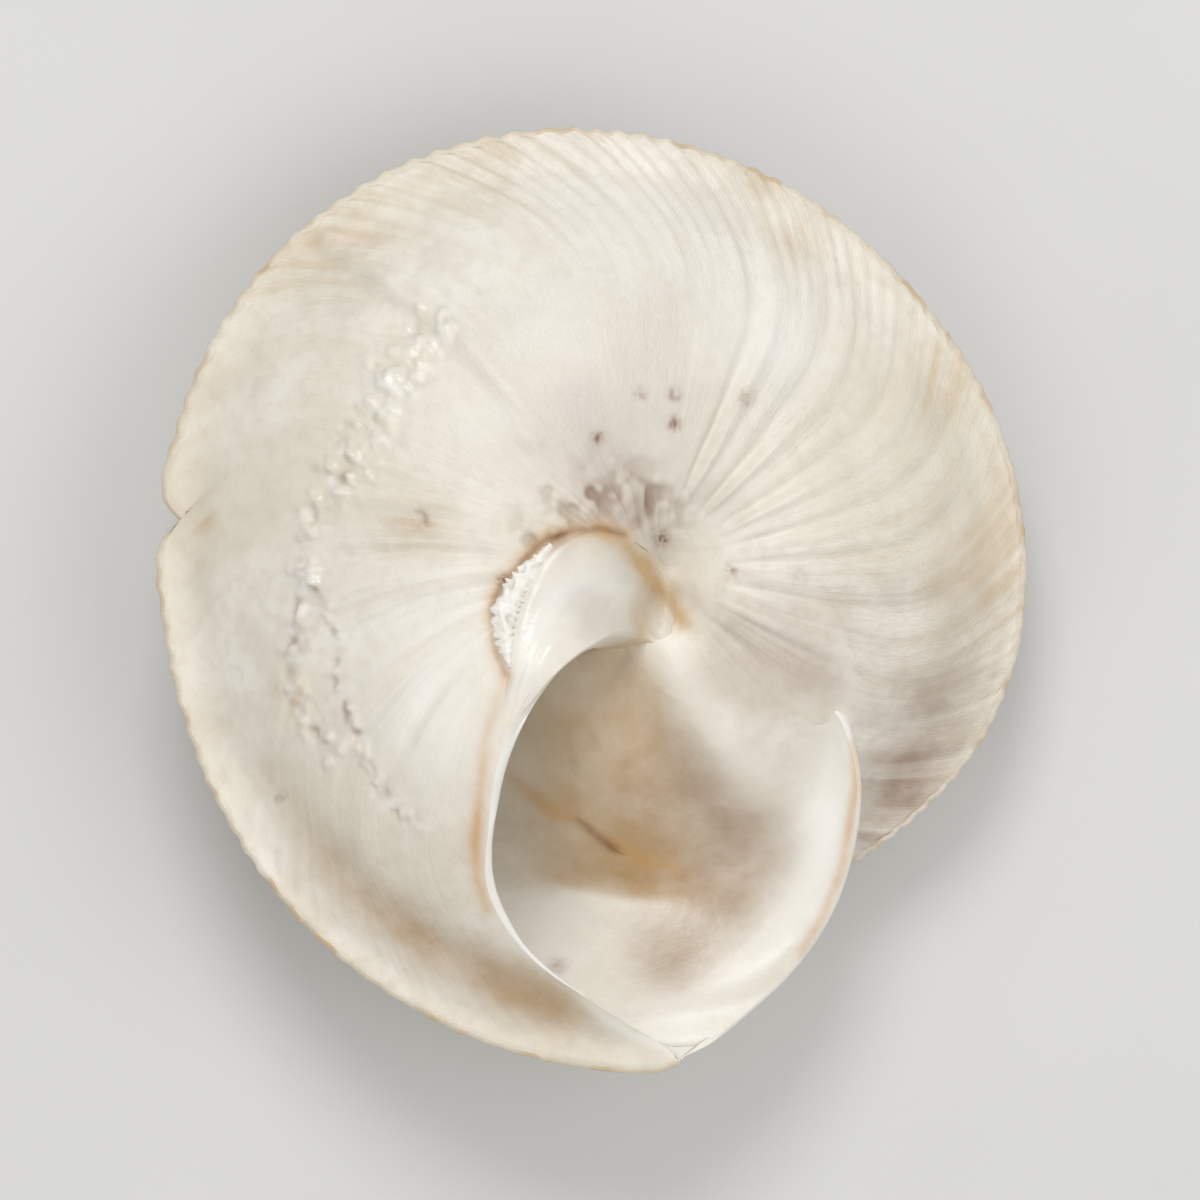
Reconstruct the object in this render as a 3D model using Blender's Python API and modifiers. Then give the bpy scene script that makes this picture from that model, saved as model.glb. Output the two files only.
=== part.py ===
"""Shell of the keeled land snail Sphincterochila chionodiscus, one solid, resting spire down.

The coiling axis is the Z axis, the base of the shell faces up and the origin is the middle of the
small worn flat on the apex. Whorls are lofts through growth lines: each ring of the loft is one
growth line, so ribs, crenulations and the lip all follow the way the shell grew.

Lengths are millimetres until MM turns them into metres. Angles are degrees. A growth angle is 0 at
the keel point of the lip and negative towards the apex, 360 to a whorl.
"""

import bmesh
import bpy
import numpy as np

MM = 0.001
TURN = 360.0

# Driving dimensions
MOUTH_AZIMUTH = 274.1
FLAT_HEIGHT = 0.27
SPIRE_ROUNDING = 2.6
SPIRE_SLOPE = 0.60
MOUTH_DESCENT = 1.1
WALL = 0.55
LIP_WALL = 0.33
GLAZE = 0.10
GLAZE_EDGE = -0.02
COLUMELLA_ROUNDING = 2.2
PILLAR_SHARE = 0.135
UPPER_BULGE = 0.075
CORD_HEIGHT = 0.03
CORD_WIDTH = 0.08
ROW_STEP = 2.25

# Keel radius at growth angles
KEEL_RADII = (
    (-1800, 0.66), (-1440, 1.44), (-1080, 2.84), (-720, 5.07), (-540, 6.55), (-420, 7.65),
    (-360, 8.12), (-322, 8.38), (-300, 8.70), (-262, 8.77), (-226, 8.96), (-202, 9.52),
    (-178, 10.26), (-154, 10.95), (-130, 11.38), (-112, 11.42), (-82, 11.30), (-58, 11.38),
    (-34, 11.50), (-10, 11.58), (50, 11.75),
)
# Height of the base over the keel, both as shares of the keel radius
BASE_HEIGHTS = (
    (0.03, 0.245), (0.06, 0.262), (0.10, 0.288), (0.15, 0.318), (0.22, 0.346), (0.32, 0.366),
    (0.42, 0.362), (0.54, 0.328), (0.66, 0.264), (0.78, 0.176), (0.87, 0.088), (0.93, 0.024),
    (0.965, 0.005), (1.00, 0.0),
)
# Where the next whorl meets this one, as a share of this keel's radius, by the next whorl's angle
SUTURE_SHARES = (
    (-80, 0.975), (-40, 0.975), (-20, 0.970), (0, 0.952), (18, 0.910), (30, 0.820), (40, 0.735),
    (49, 0.662), (75, 0.45),
)
# How far a growth line lags behind its keel point, by share of the keel radius
LINE_LAGS = ((0.12, 18), (0.5, 18), (0.7, 16), (0.8, 12), (0.9, 6), (1.0, 0))
LIP_LAGS = (
    (0.12, 14), (0.16, 38), (0.236, 48.8), (0.304, 48.8), (0.44, 44), (0.60, 35.7), (0.726, 29.3),
    (0.80, 21.5), (0.90, 7), (0.97, 0.8), (1.0, 0),
)
LINE_LEAD = 30.0
LIP_LEAD = 49.0
LEAD_POWER = 1.45

# Relief
RIBBED_START = -378
CRENULATION = 0.032
RIB_HEIGHT = 0.026
NOTCH_ANGLE = -99.9
NOTCH_DEPTH = 0.48
NOTCH_HALF_WIDTH = 3.0
NOTCH_SWELLING = 0.06
LIP_CORNER_WEAR = 0.22
FOLDS = (
    (-125, 2.4, -0.07), (-190, 2.2, -0.09), (-194, 2.2, 0.07), (-207, 2.4, -0.09),
    (-211, 2.2, 0.07), (-224, 2.6, -0.07), (-229, 2.2, 0.06), (-240, 2.4, -0.06),
    (-252, 2.4, -0.06), (-266, 2.6, -0.06), (-281, 2.6, 0.05), (-296, 2.6, -0.05),
    (-30, 4.0, 0.05), (-62, 5.0, 0.05),
)
FOLD_REACH = ((0.16, 0.32), (0.93, 0.72))
RIB_REACH = (0.66, 0.92)
GRAIN_REACH = (0.6, 0.8)
GRAIN_HEIGHT = 0.06
GRAIN_START, GRAIN_END = -142, -45

# How near the base comes to the axis, as a share of the keel radius, along the growth lines
INNER_SHARES = (
    (-170, 0.035), (-105, 0.05), (-87, 0.085), (-75, 0.135), (-58, 0.195), (-37, 0.255), (-27, 0.30),
    (0, 0.31),
)
# Outline of the pillar in the axis, from its rounded top down
PILLAR_PROFILE = (
    (0.0, 5.40), (0.60, 5.25), (1.00, 4.85), (1.15, 3.95), (1.10, 2.15), (1.50, 0.85), (1.50, -0.05),
    (0.0, -0.05),
)
PILLAR_SIDES = 20
# Callus tongue over the umbilicus: x, y and height of its top, half width, direction across
TONGUE_SECTIONS = (
    (-3.50, -3.30, 8.75, 0.22, 115), (-3.30, -2.60, 8.85, 0.55, 112), (-3.05, -2.00, 8.85, 0.85, 109),
    (-2.65, -1.45, 8.75, 0.98, 107),
    (-2.15, -0.83, 8.45, 1.10, 104), (-1.60, -0.55, 8.05, 1.12, 98), (-1.00, -0.45, 7.50, 1.10, 93),
    (-0.30, -0.45, 6.85, 1.00, 90), (0.35, -0.65, 6.25, 0.80, 88), (0.85, -0.95, 5.80, 0.50, 90),
    (1.20, -1.15, 5.45, 0.20, 95),
)
TONGUE_THICKNESS = 1.3
TONGUE_SIDES = 10

# Depths of the hidden side of the filled whorls under the whorl before, and of the mouth's cap
HIDDEN_DEPTH = 0.30
EMBEDDED_SHARE = 0.08
RECESS = (0.55, 1.2, -40)
FLOOR_SIZE = 8.0

# Hollow: how far its rows run, where its keel corner lies and how it joins the whorl before
CAVITY_ROWS = (-470, 16, 11.0)
CAVITY_CORNER = 0.868
LIP_CORNER = 0.885
CORNER_LAG = 0.4
SUTURE_CLEARANCE = 0.35
MOUTH_NARROWING = 2.5
COLUMELLA_REACH = (0.30, 0.12)
GLAZE_REACH = -30
LIP_REACH = -14

# Columns of the lofts
UPPER_SHARES = (0.0, 0.25, 0.52, 0.78)
BASE_COLUMNS = (1.0, 0.945, 0.86, 0.74, 0.60, 0.45, 0.28, 0.12, 0.0)
HIDDEN_COLUMNS = (0.12, 0.5)
CAVITY_UPPER_SHARES = (0.14, 0.38, 0.64)
CAVITY_BASE_SHARES = (0.80, 0.69, 0.56, 0.42, 0.30, 0.24, 0.18)
CAVITY_WALL_SHARES = (0.2, 0.42, 0.65, 0.86)
# Growth angles from which the rings stand this far apart
ROW_STEPS = ((-1536, 12.0), (-1080, 9.0), (-720, 6.0), (RIBBED_START, ROW_STEP), (0, 0))

SHELL_COLOUR = (0.82, 0.78, 0.70, 1.0)
SHARP_ANGLE = 35.0


def curve_through(knots):
    """A smooth curve through (x, y) knots, straight beyond its ends."""
    xs, ys = np.array(knots, float).T
    slopes = np.gradient(ys, xs)

    def value(x):
        x = np.asarray(x, float)
        inside = np.clip(x, xs[0], xs[-1])
        i = np.clip(np.searchsorted(xs, inside) - 1, 0, len(xs) - 2)
        width = xs[i + 1] - xs[i]
        u = (inside - xs[i]) / width
        start = (1 + 2 * u) * (1 - u) ** 2 * ys[i] + u * (1 - u) ** 2 * width * slopes[i]
        end = u * u * (3 - 2 * u) * ys[i + 1] - u * u * (1 - u) * width * slopes[i + 1]
        beyond = np.where(x > xs[-1], slopes[-1], slopes[0]) * (x - inside)
        return start + end + beyond

    return value


log_radius = curve_through([(angle, np.log(radius)) for angle, radius in KEEL_RADII])
base_height = curve_through(BASE_HEIGHTS)
suture_share = curve_through(SUTURE_SHARES)
inner_share = curve_through(INNER_SHARES)
line_lag = curve_through(LINE_LAGS)
lip_lag = curve_through(LIP_LAGS)


def smooth_step(start, end, x):
    u = np.clip((x - start) / (end - start), 0.0, 1.0)
    return u * u * (3 - 2 * u)


def keel_radius(angle):
    return np.exp(log_radius(angle))


def keel_height(angle):
    """A cone with a rounded tip, plus the last whorl's turn towards the base before the mouth."""
    cone = np.hypot(SPIRE_ROUNDING, SPIRE_SLOPE * keel_radius(angle)) - SPIRE_ROUNDING
    return cone + MOUTH_DESCENT * smooth_step(-110, LIP_LEAD, angle)


def base_surface(radius, angle):
    """Height of the base at this distance from the axis."""
    keel = keel_radius(angle)
    return keel_height(angle) + keel * base_height(radius / keel)


def suture(angle):
    """Distance and height of the line where this whorl joins the one before."""
    before = angle - TURN
    share = suture_share(np.maximum(angle, SUTURE_SHARES[0][0]))
    radius = share * keel_radius(before)
    return radius, base_surface(radius, before)


def upper_surface(share, angle):
    """Distance and height of the spire side, share running from the suture to the keel."""
    inner, low = suture(angle)
    outer = keel_radius(angle)
    high = keel_height(angle)
    width = outer - inner
    bulge = UPPER_BULGE * width * np.sin(np.pi * share**0.9)
    inward = (1 - share) / CORD_WIDTH
    cord = CORD_HEIGHT * width * inward * np.exp(-(inward**2))
    return inner + width * share, low + (high - low) * share - bulge + cord


def place(radius, height, angle):
    azimuth = np.radians(angle + MOUTH_AZIMUTH)
    return np.array([radius * np.cos(azimuth), radius * np.sin(azimuth), height - FLAT_HEIGHT])


def lip_share(row):
    """How far the growth line at this row has turned into the slant of the lip."""
    return smooth_step(-110, 0, min(row, 0))


def lead(share, row):
    """How far the growth line runs ahead of its keel point on the spire side."""
    reach = LINE_LEAD + (LIP_LEAD - LINE_LEAD) * lip_share(row)
    return reach * (1 - share) ** LEAD_POWER


def lag(share, row):
    """How far the growth line falls behind its keel point on the base."""
    slant = lip_share(row)
    return (1 - slant) * line_lag(share) + slant * lip_lag(share)


def keel_relief(row):
    """Crenulated edge of the keel, with the healed notch."""
    beat = 1 if round(row / ROW_STEP) % 2 else -1
    edge = CRENULATION * beat if row >= RIBBED_START else 0.0
    distance = abs(row - NOTCH_ANGLE)
    notch = NOTCH_DEPTH * max(0.0, 1 - distance / NOTCH_HALF_WIDTH)
    beside = (distance - 2 * NOTCH_HALF_WIDTH) / NOTCH_HALF_WIDTH
    swelling = NOTCH_SWELLING * np.exp(-(beside**2))
    worn_corner = LIP_CORNER_WEAR * np.exp(-((row / ROW_STEP) ** 2))
    return edge + swelling - notch - worn_corner


def base_relief(share, row, grain):
    """Ribs near the keel, folds across the base and the granular band."""
    beat = 1 if round(row / ROW_STEP) % 2 else -1
    ribs = RIB_HEIGHT * beat * smooth_step(*RIB_REACH, share) if row >= RIBBED_START else 0.0
    spread = smooth_step(*FOLD_REACH[0], share) * smooth_step(*FOLD_REACH[1], share)
    folds = sum(height * np.exp(-(((row - at) / width) ** 2)) for at, width, height in FOLDS)
    granular = GRAIN_START < row < GRAIN_END and GRAIN_REACH[0] < share < GRAIN_REACH[1]
    return ribs + folds * spread + (GRAIN_HEIGHT * grain if granular else 0.0)


def whorl_ring(row, grains):
    """One growth line of the filled whorl, closed inside the whorl before it."""
    points = []
    inner_angle = row + lead(0.0, row)
    before = inner_angle - TURN
    radius, height = suture(inner_angle)
    outer = radius - EMBEDDED_SHARE * keel_radius(before)
    points.append(place(outer, height, inner_angle))
    for share in UPPER_SHARES:
        angle = row + lead(share, row)
        radius, height = upper_surface(share, angle)
        points.append(place(radius, height, angle))
    innermost = inner_share(np.clip(row, INNER_SHARES[0][0], 0))
    for column, grain in zip(BASE_COLUMNS, grains):
        share = innermost + (1 - innermost) * column
        angle = row - lag(share, row)
        radius = share * keel_radius(angle)
        height = base_surface(radius, angle)
        if column == 1.0:
            radius += keel_relief(row)
        else:
            height += base_relief(share, row, grain)
        points.append(place(radius, height, angle))
    return points + hidden_points(radius, angle, outer, inner_angle)


def hidden_points(radius, angle, outer, outer_angle):
    """The side of a growth line that lies under the base of the whorl before."""
    points = []
    for column in HIDDEN_COLUMNS:
        away = radius + (outer - radius) * column
        turned = angle + (outer_angle - angle) * column
        points.append(place(away, base_surface(away, turned - TURN) - HIDDEN_DEPTH, turned))
    return points


def wall_at(row):
    return WALL + (LIP_WALL - WALL) * smooth_step(LIP_REACH, 0, row)


def base_ceiling(share, angle, wall):
    """Height of the inner face of the base, a wall's thickness under it."""
    radius = share * keel_radius(angle)
    step = 0.05
    slope = (base_surface(radius + step, angle) - base_surface(radius - step, angle)) / (2 * step)
    rounding = COLUMELLA_ROUNDING * smooth_step(*COLUMELLA_REACH, share)
    return radius, base_surface(radius, angle) - wall * np.hypot(1, slope) - rounding


def upper_floor(share, angle, wall):
    """Distance and height of the inner face of the spire side."""
    radius, height = upper_surface(share, angle)
    near_radius, near_height = upper_surface(share + 0.02, angle)
    slope = (near_height - height) / (near_radius - radius)
    return radius, height + wall * np.hypot(1, slope)


def cavity_ring(row):
    """One growth line of the hollow: spire side, keel corner, base, pillar, and the whorl before."""
    wall = wall_at(row)
    points = []
    inner_angle = row + lead(0.0, row)
    for share in CAVITY_UPPER_SHARES:
        angle = row + lead(share, row)
        points.append(place(*upper_floor(share, angle, wall), angle))
    keel = keel_radius(row)
    share = LIP_CORNER if row > LIP_REACH else CAVITY_CORNER
    floor = np.interp(share * keel, *upper_rows(row, wall))
    ceiling = base_ceiling(share, row, wall)[1]
    corner_angle = row - CORNER_LAG * lag(share, row)
    points.append(place(share * keel, floor + (ceiling - floor) / 3, corner_angle))
    for share in CAVITY_BASE_SHARES:
        angle = row - lag(share, row)
        points.append(place(*base_ceiling(share, angle, wall), angle))
    pillar_angle = row - lag(PILLAR_SHARE, row)
    pillar = PILLAR_SHARE * keel_radius(pillar_angle)
    points.append(place(pillar, base_ceiling(PILLAR_SHARE, pillar_angle, wall)[1], pillar_angle))
    past_lip = smooth_step(0, CAVITY_ROWS[1], row)
    outer = suture(inner_angle)[0] - SUTURE_CLEARANCE - MOUTH_NARROWING * past_lip
    glaze = GLAZE_EDGE + (GLAZE - GLAZE_EDGE) * smooth_step(CAVITY_ROWS[1], GLAZE_REACH, row)
    for share in (0.0, *CAVITY_WALL_SHARES, 1.0):
        angle = pillar_angle + (inner_angle - pillar_angle) * share
        radius = pillar + (outer - pillar) * share
        points.append(place(radius, base_surface(radius, angle - TURN) + glaze, angle))
    return points


def upper_rows(row, wall):
    """Distances and heights along the inner face of the spire side, to read a height from."""
    shares = np.linspace(0.3, 0.98, 18)
    rows = [upper_floor(share, row, wall) for share in shares]
    return [radius for radius, _ in rows], [height for _, height in rows]


def loft(name, rings, end_middle, collection):
    """A closed solid through rings of points, each end closed by a fan to its middle."""
    mesh = bmesh.new()
    levels = [[mesh.verts.new(MM * point) for point in ring] for ring in rings]
    count = len(rings[0])
    for near, far in zip(levels, levels[1:]):
        for i in range(count):
            j = (i + 1) % count
            mesh.faces.new((near[i], near[j], far[j], far[i]))
    for level, point in ((levels[0], np.mean(rings[0], axis=0)), (levels[-1], end_middle)):
        middle = mesh.verts.new(MM * point)
        for i in range(count):
            mesh.faces.new((level[i], level[(i + 1) % count], middle))
    bmesh.ops.triangulate(mesh, faces=mesh.faces, quad_method="SHORT_EDGE")
    bmesh.ops.recalc_face_normals(mesh, faces=mesh.faces)
    return finish_mesh(name, mesh, collection)


def finish_mesh(name, mesh, collection):
    data = bpy.data.meshes.new(name)
    mesh.to_mesh(data)
    mesh.free()
    made = bpy.data.objects.new(name, data)
    collection.objects.link(made)
    return made


def row_angles(start, end, step):
    return np.linspace(start, end, round((end - start) / step) + 1)


def make_whorls(collection):
    """All the filled whorls in one loft, which runs through itself until the pillar's union."""
    grain = np.random.default_rng(7)
    rows = []
    for (start, step), (end, _) in zip(ROW_STEPS, ROW_STEPS[1:]):
        rows.extend(row_angles(start, end, step)[:-1])
    rings = [whorl_ring(row, grain.uniform(-1, 1, len(BASE_COLUMNS))) for row in (*rows, 0.0)]
    share, rise, angle = RECESS
    recess = place(share * keel_radius(angle), keel_height(angle) + rise, angle)
    return loft("shell", rings, recess, collection)


def make_pillar(collection):
    """The turned pillar that fills the axis, from the apex to the umbilicus."""
    mesh = bmesh.new()
    corners = [mesh.verts.new((MM * radius, 0, MM * height)) for radius, height in PILLAR_PROFILE]
    for near, far in zip(corners, corners[1:]):
        mesh.edges.new((near, far))
    pillar = finish_mesh("pillar", mesh, collection)
    screw = pillar.modifiers.new("turn", "SCREW")
    screw.steps = PILLAR_SIDES
    screw.render_steps = PILLAR_SIDES
    screw.use_merge_vertices = True
    screw.merge_threshold = 0.00001
    return pillar


def make_tongue(collection):
    """The callus tongue that covers the umbilicus, falling from the columella to the base."""
    rings = []
    turns = 2 * np.pi * np.arange(TONGUE_SIDES) / TONGUE_SIDES
    upward = np.array([0, 0, TONGUE_THICKNESS / 2])
    for x, y, top, half_width, direction in TONGUE_SECTIONS:
        across = half_width * np.array([np.cos(np.radians(direction)), np.sin(np.radians(direction)), 0])
        centre = np.array([x, y, top - FLAT_HEIGHT]) - upward
        rings.append([centre + across * np.cos(turn) + upward * np.sin(turn) for turn in turns])
    return loft("tongue", rings, np.mean(rings[-1], axis=0), collection)


def make_floor(collection):
    """The block under the apex that wears it flat."""
    mesh = bmesh.new()
    bmesh.ops.create_cube(mesh, size=MM * FLOOR_SIZE)
    floor = finish_mesh("floor", mesh, collection)
    floor.location.z = -MM * FLOOR_SIZE / 2
    return floor


def add_boolean(target, operation, operand, through_itself=False):
    change = target.modifiers.new(operand.name, "BOOLEAN")
    change.operation = operation
    change.object = operand
    change.use_self = through_itself


def make_material():
    material = bpy.data.materials.new("shell_white")
    material.use_nodes = True
    surface = material.node_tree.nodes["Principled BSDF"]
    surface.inputs["Base Color"].default_value = SHELL_COLOUR
    surface.inputs["Roughness"].default_value = 0.42
    surface.inputs["Metallic"].default_value = 0.0
    return material


def new_collection(name, hidden=False):
    collection = bpy.data.collections.new(name)
    bpy.context.scene.collection.children.link(collection)
    collection.hide_render = hidden
    return collection


def main():
    for old in list(bpy.data.objects):
        bpy.data.objects.remove(old, do_unlink=True)
    shell_parts = new_collection("sphincterochila_chionodiscus")
    cutters = new_collection("cutters", hidden=True)
    shell = make_whorls(shell_parts)
    pillar = make_pillar(cutters)
    tongue = make_tongue(cutters)
    rings = [cavity_ring(row) for row in row_angles(*CAVITY_ROWS)]
    cavity = loft("cavity", rings, np.mean(rings[-1], axis=0), cutters)
    floor = make_floor(cutters)
    add_boolean(shell, "UNION", pillar, through_itself=True)
    add_boolean(shell, "UNION", tongue)
    for cutter in (cavity, floor):
        add_boolean(shell, "DIFFERENCE", cutter)
    shell.data.materials.append(make_material())
    shell.data.shade_smooth()
    shell.data.set_sharp_from_angle(angle=np.radians(SHARP_ANGLE))
    for helper in cutters.objects:
        helper.hide_render = True
        helper.display_type = "WIRE"


main()
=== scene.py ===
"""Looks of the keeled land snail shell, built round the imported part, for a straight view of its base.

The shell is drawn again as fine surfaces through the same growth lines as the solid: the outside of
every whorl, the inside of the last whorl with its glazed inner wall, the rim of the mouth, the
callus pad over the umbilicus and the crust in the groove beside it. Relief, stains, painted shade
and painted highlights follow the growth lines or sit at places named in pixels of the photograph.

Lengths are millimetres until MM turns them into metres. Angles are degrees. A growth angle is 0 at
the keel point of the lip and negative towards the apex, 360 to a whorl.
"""

from collections import namedtuple

import bpy
import numpy as np
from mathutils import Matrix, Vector


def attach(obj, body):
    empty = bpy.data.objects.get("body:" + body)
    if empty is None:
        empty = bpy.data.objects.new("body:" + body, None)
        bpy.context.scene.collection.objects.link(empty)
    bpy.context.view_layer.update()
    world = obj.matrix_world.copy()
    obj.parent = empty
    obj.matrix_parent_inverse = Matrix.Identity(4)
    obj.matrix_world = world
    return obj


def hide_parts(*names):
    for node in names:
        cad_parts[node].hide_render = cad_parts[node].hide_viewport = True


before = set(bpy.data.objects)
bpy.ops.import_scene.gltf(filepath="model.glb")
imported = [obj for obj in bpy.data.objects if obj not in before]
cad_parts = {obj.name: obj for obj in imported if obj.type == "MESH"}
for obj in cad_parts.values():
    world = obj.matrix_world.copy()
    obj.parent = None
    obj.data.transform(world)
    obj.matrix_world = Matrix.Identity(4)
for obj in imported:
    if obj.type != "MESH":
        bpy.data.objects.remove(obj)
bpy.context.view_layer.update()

MM = 0.001
TURN = 360.0

# Photograph: millimetres to a pixel, and the pixel of the coiling axis
PIXEL = 0.023085
AXIS_PIXEL = (650, 570)
PHOTO_SIZE = 1200

# Driving dimensions, as in the solid
MOUTH_AZIMUTH = 274.1
FLAT_HEIGHT = 0.27
SPIRE_ROUNDING = 2.6
SPIRE_SLOPE = 0.60
MOUTH_DESCENT = 1.1
WALL = 0.55
LIP_WALL = 0.33
GLAZE = 0.10
COLUMELLA_ROUNDING = 2.2
PILLAR_SHARE = 0.135
UPPER_BULGE = 0.075
CORD_HEIGHT = 0.03
CORD_WIDTH = 0.08
SUTURE_CLEARANCE = 0.35
SUTURE_TUCK = 0.10

# Growth angles: where the last whorl begins to turn into the lip, where the whorl before lies in the
# mouth, and how far behind the mouth its glaze fades
LIP_TURN = -110
NEAR_MOUTH = -270
GLAZE_FADE = (4, 80)
# How much of the last whorl the mouth opens
MOUTH_SECTOR = 60

# Keel radius at growth angles
KEEL_RADII = (
    (-1800, 0.66), (-1440, 1.44), (-1080, 2.84), (-720, 5.07), (-540, 6.55), (-420, 7.65),
    (-360, 8.12), (-322, 8.38), (-300, 8.70), (-262, 8.77), (-226, 8.96), (-202, 9.52),
    (-178, 10.26), (-154, 10.95), (-130, 11.38), (-112, 11.42), (-82, 11.30), (-58, 11.38),
    (-34, 11.50), (-10, 11.58), (50, 11.75),
)
# Height of the base over the keel, both as shares of the keel radius
BASE_HEIGHTS = (
    (0.03, 0.245), (0.06, 0.262), (0.10, 0.288), (0.15, 0.318), (0.22, 0.346), (0.32, 0.366),
    (0.42, 0.362), (0.54, 0.328), (0.66, 0.264), (0.78, 0.176), (0.87, 0.088), (0.93, 0.024),
    (0.965, 0.005), (1.00, 0.0),
)
# Where the next whorl meets this one, as a share of this keel's radius, by the next whorl's angle
SUTURE_SHARES = (
    (-80, 0.975), (-40, 0.975), (-20, 0.970), (0, 0.952), (18, 0.910), (30, 0.820), (40, 0.735),
    (49, 0.662), (75, 0.45),
)
# How far a growth line lags behind its keel point, by share of the keel radius
LINE_LAGS = ((0.12, 18), (0.5, 18), (0.7, 16), (0.8, 12), (0.9, 6), (1.0, 0))
LIP_LAGS = (
    (0.12, 14), (0.16, 38), (0.236, 48.8), (0.304, 48.8), (0.44, 44), (0.60, 35.7), (0.726, 29.3),
    (0.80, 21.5), (0.90, 7), (0.97, 0.8), (1.0, 0),
)
LINE_LEAD = 30.0
LIP_LEAD = 49.0
LEAD_POWER = 1.45
# How near the base comes to the axis, as a share of the keel radius, along the growth lines
INNER_SHARES = (
    (-182, 0.035), (-151, 0.045), (-134, 0.068), (-118, 0.098), (-107, 0.128), (-94, 0.155),
    (-81, 0.178), (-70, 0.198), (-58, 0.22), (-37, 0.26), (-27, 0.30), (0, 0.31),
)
# Callus pad over the umbilicus, in sections from the lip to the wall of the mouth. In pixels: its outer
# margin, its edge at the mouth and the end of its skirt below that. In millimetres: the height of the
# edge, how far the pad crowns, the height of the skirt's end and how deep the margin lies in the base
PAD_SECTIONS = (
    (497, 762, 503, 764, 500, 762, 8.66, 0.00, 8.60, 0.05),
    (502, 725, 514, 723, 508, 718, 8.90, 0.05, 8.55, 0.05),
    (505, 697, 532, 699, 526, 692, 8.97, 0.09, 8.25, 0.05),
    (508, 668, 552, 675, 546, 666, 8.96, 0.12, 7.60, 0.05),
    (512, 632, 577, 653, 574, 648, 8.68, 0.20, 6.40, 0.05),
    (524, 592, 597, 640, 602, 649, 8.15, 0.28, 5.10, 0.05),
    (546, 555, 614, 631, 622, 650, 7.50, 0.34, 5.10, 0.06),
    (584, 531, 629, 627, 637, 648, 6.80, 0.40, 5.20, 0.10),
    (626, 532, 643, 630, 649, 646, 6.15, 0.44, 5.30, 0.16),
    (655, 552, 657, 641, 661, 652, 5.75, 0.30, 5.40, 0.18),
    (672, 582, 670, 656, 673, 664, 5.60, 0.12, 5.50, 0.14),
    (682, 610, 680, 670, 683, 676, 5.60, 0.04, 5.50, 0.12),
    (690, 634, 689, 682, 692, 688, 5.60, 0.00, 5.50, 0.14),
)
# Sections over which the pad's edge comes down to the wall, and over which it sinks, and how far
PAD_LOWERING = (6.8, 9.4)
PAD_SINKINGS = ((8.2, 9.6, 0.08), (10.2, 12.0, 0.12))
PAD_EDGE_LIFT = 0.02
PAD_FOOT_DEPTH = 0.10
PAD_ROLL = 0.10
PAD_STRANDS = 0.022

# Relief of the keel
CRENULATIONS = 110
CRENULATION = 0.045
RIB_HEIGHT = 0.054
BEAD = 0.11
NOTCH_ANGLE = -99.9
NOTCH_DEPTH = 0.48
NOTCH_HALF_WIDTH = 3.0
NOTCH_SWELLING = 0.06
LIP_CORNER_WEAR = 0.22
LIP_CORNER_WIDTH = 2.2
KEEL_WAVINESS = 0.025
# Strength of the crenulations along the keel
CRENULATION_STRENGTH = (
    (-1600, 0.5), (-380, 0.5), (-330, 0.6), (-300, 0.4), (-240, 0.5), (-200, 0.8), (-170, 1.1),
    (-140, 1.0), (-110, 0.7), (-80, 0.8), (-50, 0.5), (-20, 0.3), (0, 0.1),
)
CRENULATION_REACH = 0.28
KEEL_FILLING = 0.017
KEEL_GROOVE = 0.935
KEEL_GROOVE_WIDTH = 0.035
FILLED_ROWS = (-95, -150)
NOTCH_REACH = 1.1

# Relief of the base: folds as growth angle, width and height, and the stretches of growth angle, or of
# share of the keel radius, over which each kind comes in or fades
FOLDS = (
    (-125, 2.4, -0.08), (-190, 2.2, -0.12), (-194, 2.2, 0.09), (-207, 2.4, -0.13),
    (-211, 2.2, 0.09), (-224, 2.6, -0.10), (-229, 2.2, 0.08), (-240, 2.4, -0.09),
    (-252, 2.4, -0.08), (-266, 2.6, -0.08), (-281, 2.6, 0.07), (-296, 2.6, -0.07),
    (-30, 4.0, 0.05), (-62, 5.0, 0.05),
)
FOLD_REACH = ((0.16, 0.32), (0.93, 0.72))
RIB_REACH = (0.66, 0.90)
RIB_ROWS = (-260, -190)
EVEN_ROWS = (-135, -90)
WRINKLE_ROWS = (-150, -215)
WRINKLE_REACH = (0.86, 0.55)
PLAIN_MIDDLE = (1.6, 4.4)
PUSTULE_HEIGHT = 0.15
GRANULE_HEIGHT = 0.12
PIT_WIDTH = 0.15
PIT_DEPTH = 0.07
SUTURE_FADE = (0.02, 0.4)
BURIED_DEPTH = 0.12
BURIED_FADE = (-2, -12)

# Pixels of the granular lines, the pitted middle, the pits and the long crease on the base
PUSTULAR_LINE = ((440, 322), (418, 345), (396, 375), (376, 405), (360, 440), (348, 472))
GRANULAR_LINES = (
    ((348, 472), (322, 505), (311, 532), (304, 565), (302, 610), (297, 655), (294, 692), (304, 705),
     (318, 728), (335, 755)),
    ((318, 575), (332, 610), (340, 650), (343, 690), (354, 722), (366, 755), (378, 780), (398, 805),
     (420, 814)),
)
RIM_BAND = ((260, 815), (300, 865), (340, 910), (390, 945), (450, 985), (520, 1015))
RIM_GROOVE = ((262, 770), (290, 815), (325, 860), (375, 905), (430, 940), (500, 980), (560, 1005))
PITTED_LINE = ((538, 528), (566, 506), (600, 492), (632, 486), (652, 500), (662, 520))
DARK_PITS = ((598, 441), (640, 396), (673, 397), (673, 426), (425, 520), (279, 799))
CREASE = ((330, 240), (372, 268), (430, 318), (476, 360), (512, 402), (536, 442))
CREASE_FOOT = ((318, 258), (360, 286), (418, 336), (464, 378), (500, 418), (524, 456))
GLOSSY_WRINKLES = ((338, 520), (345, 575), (352, 640), (368, 705))
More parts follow.
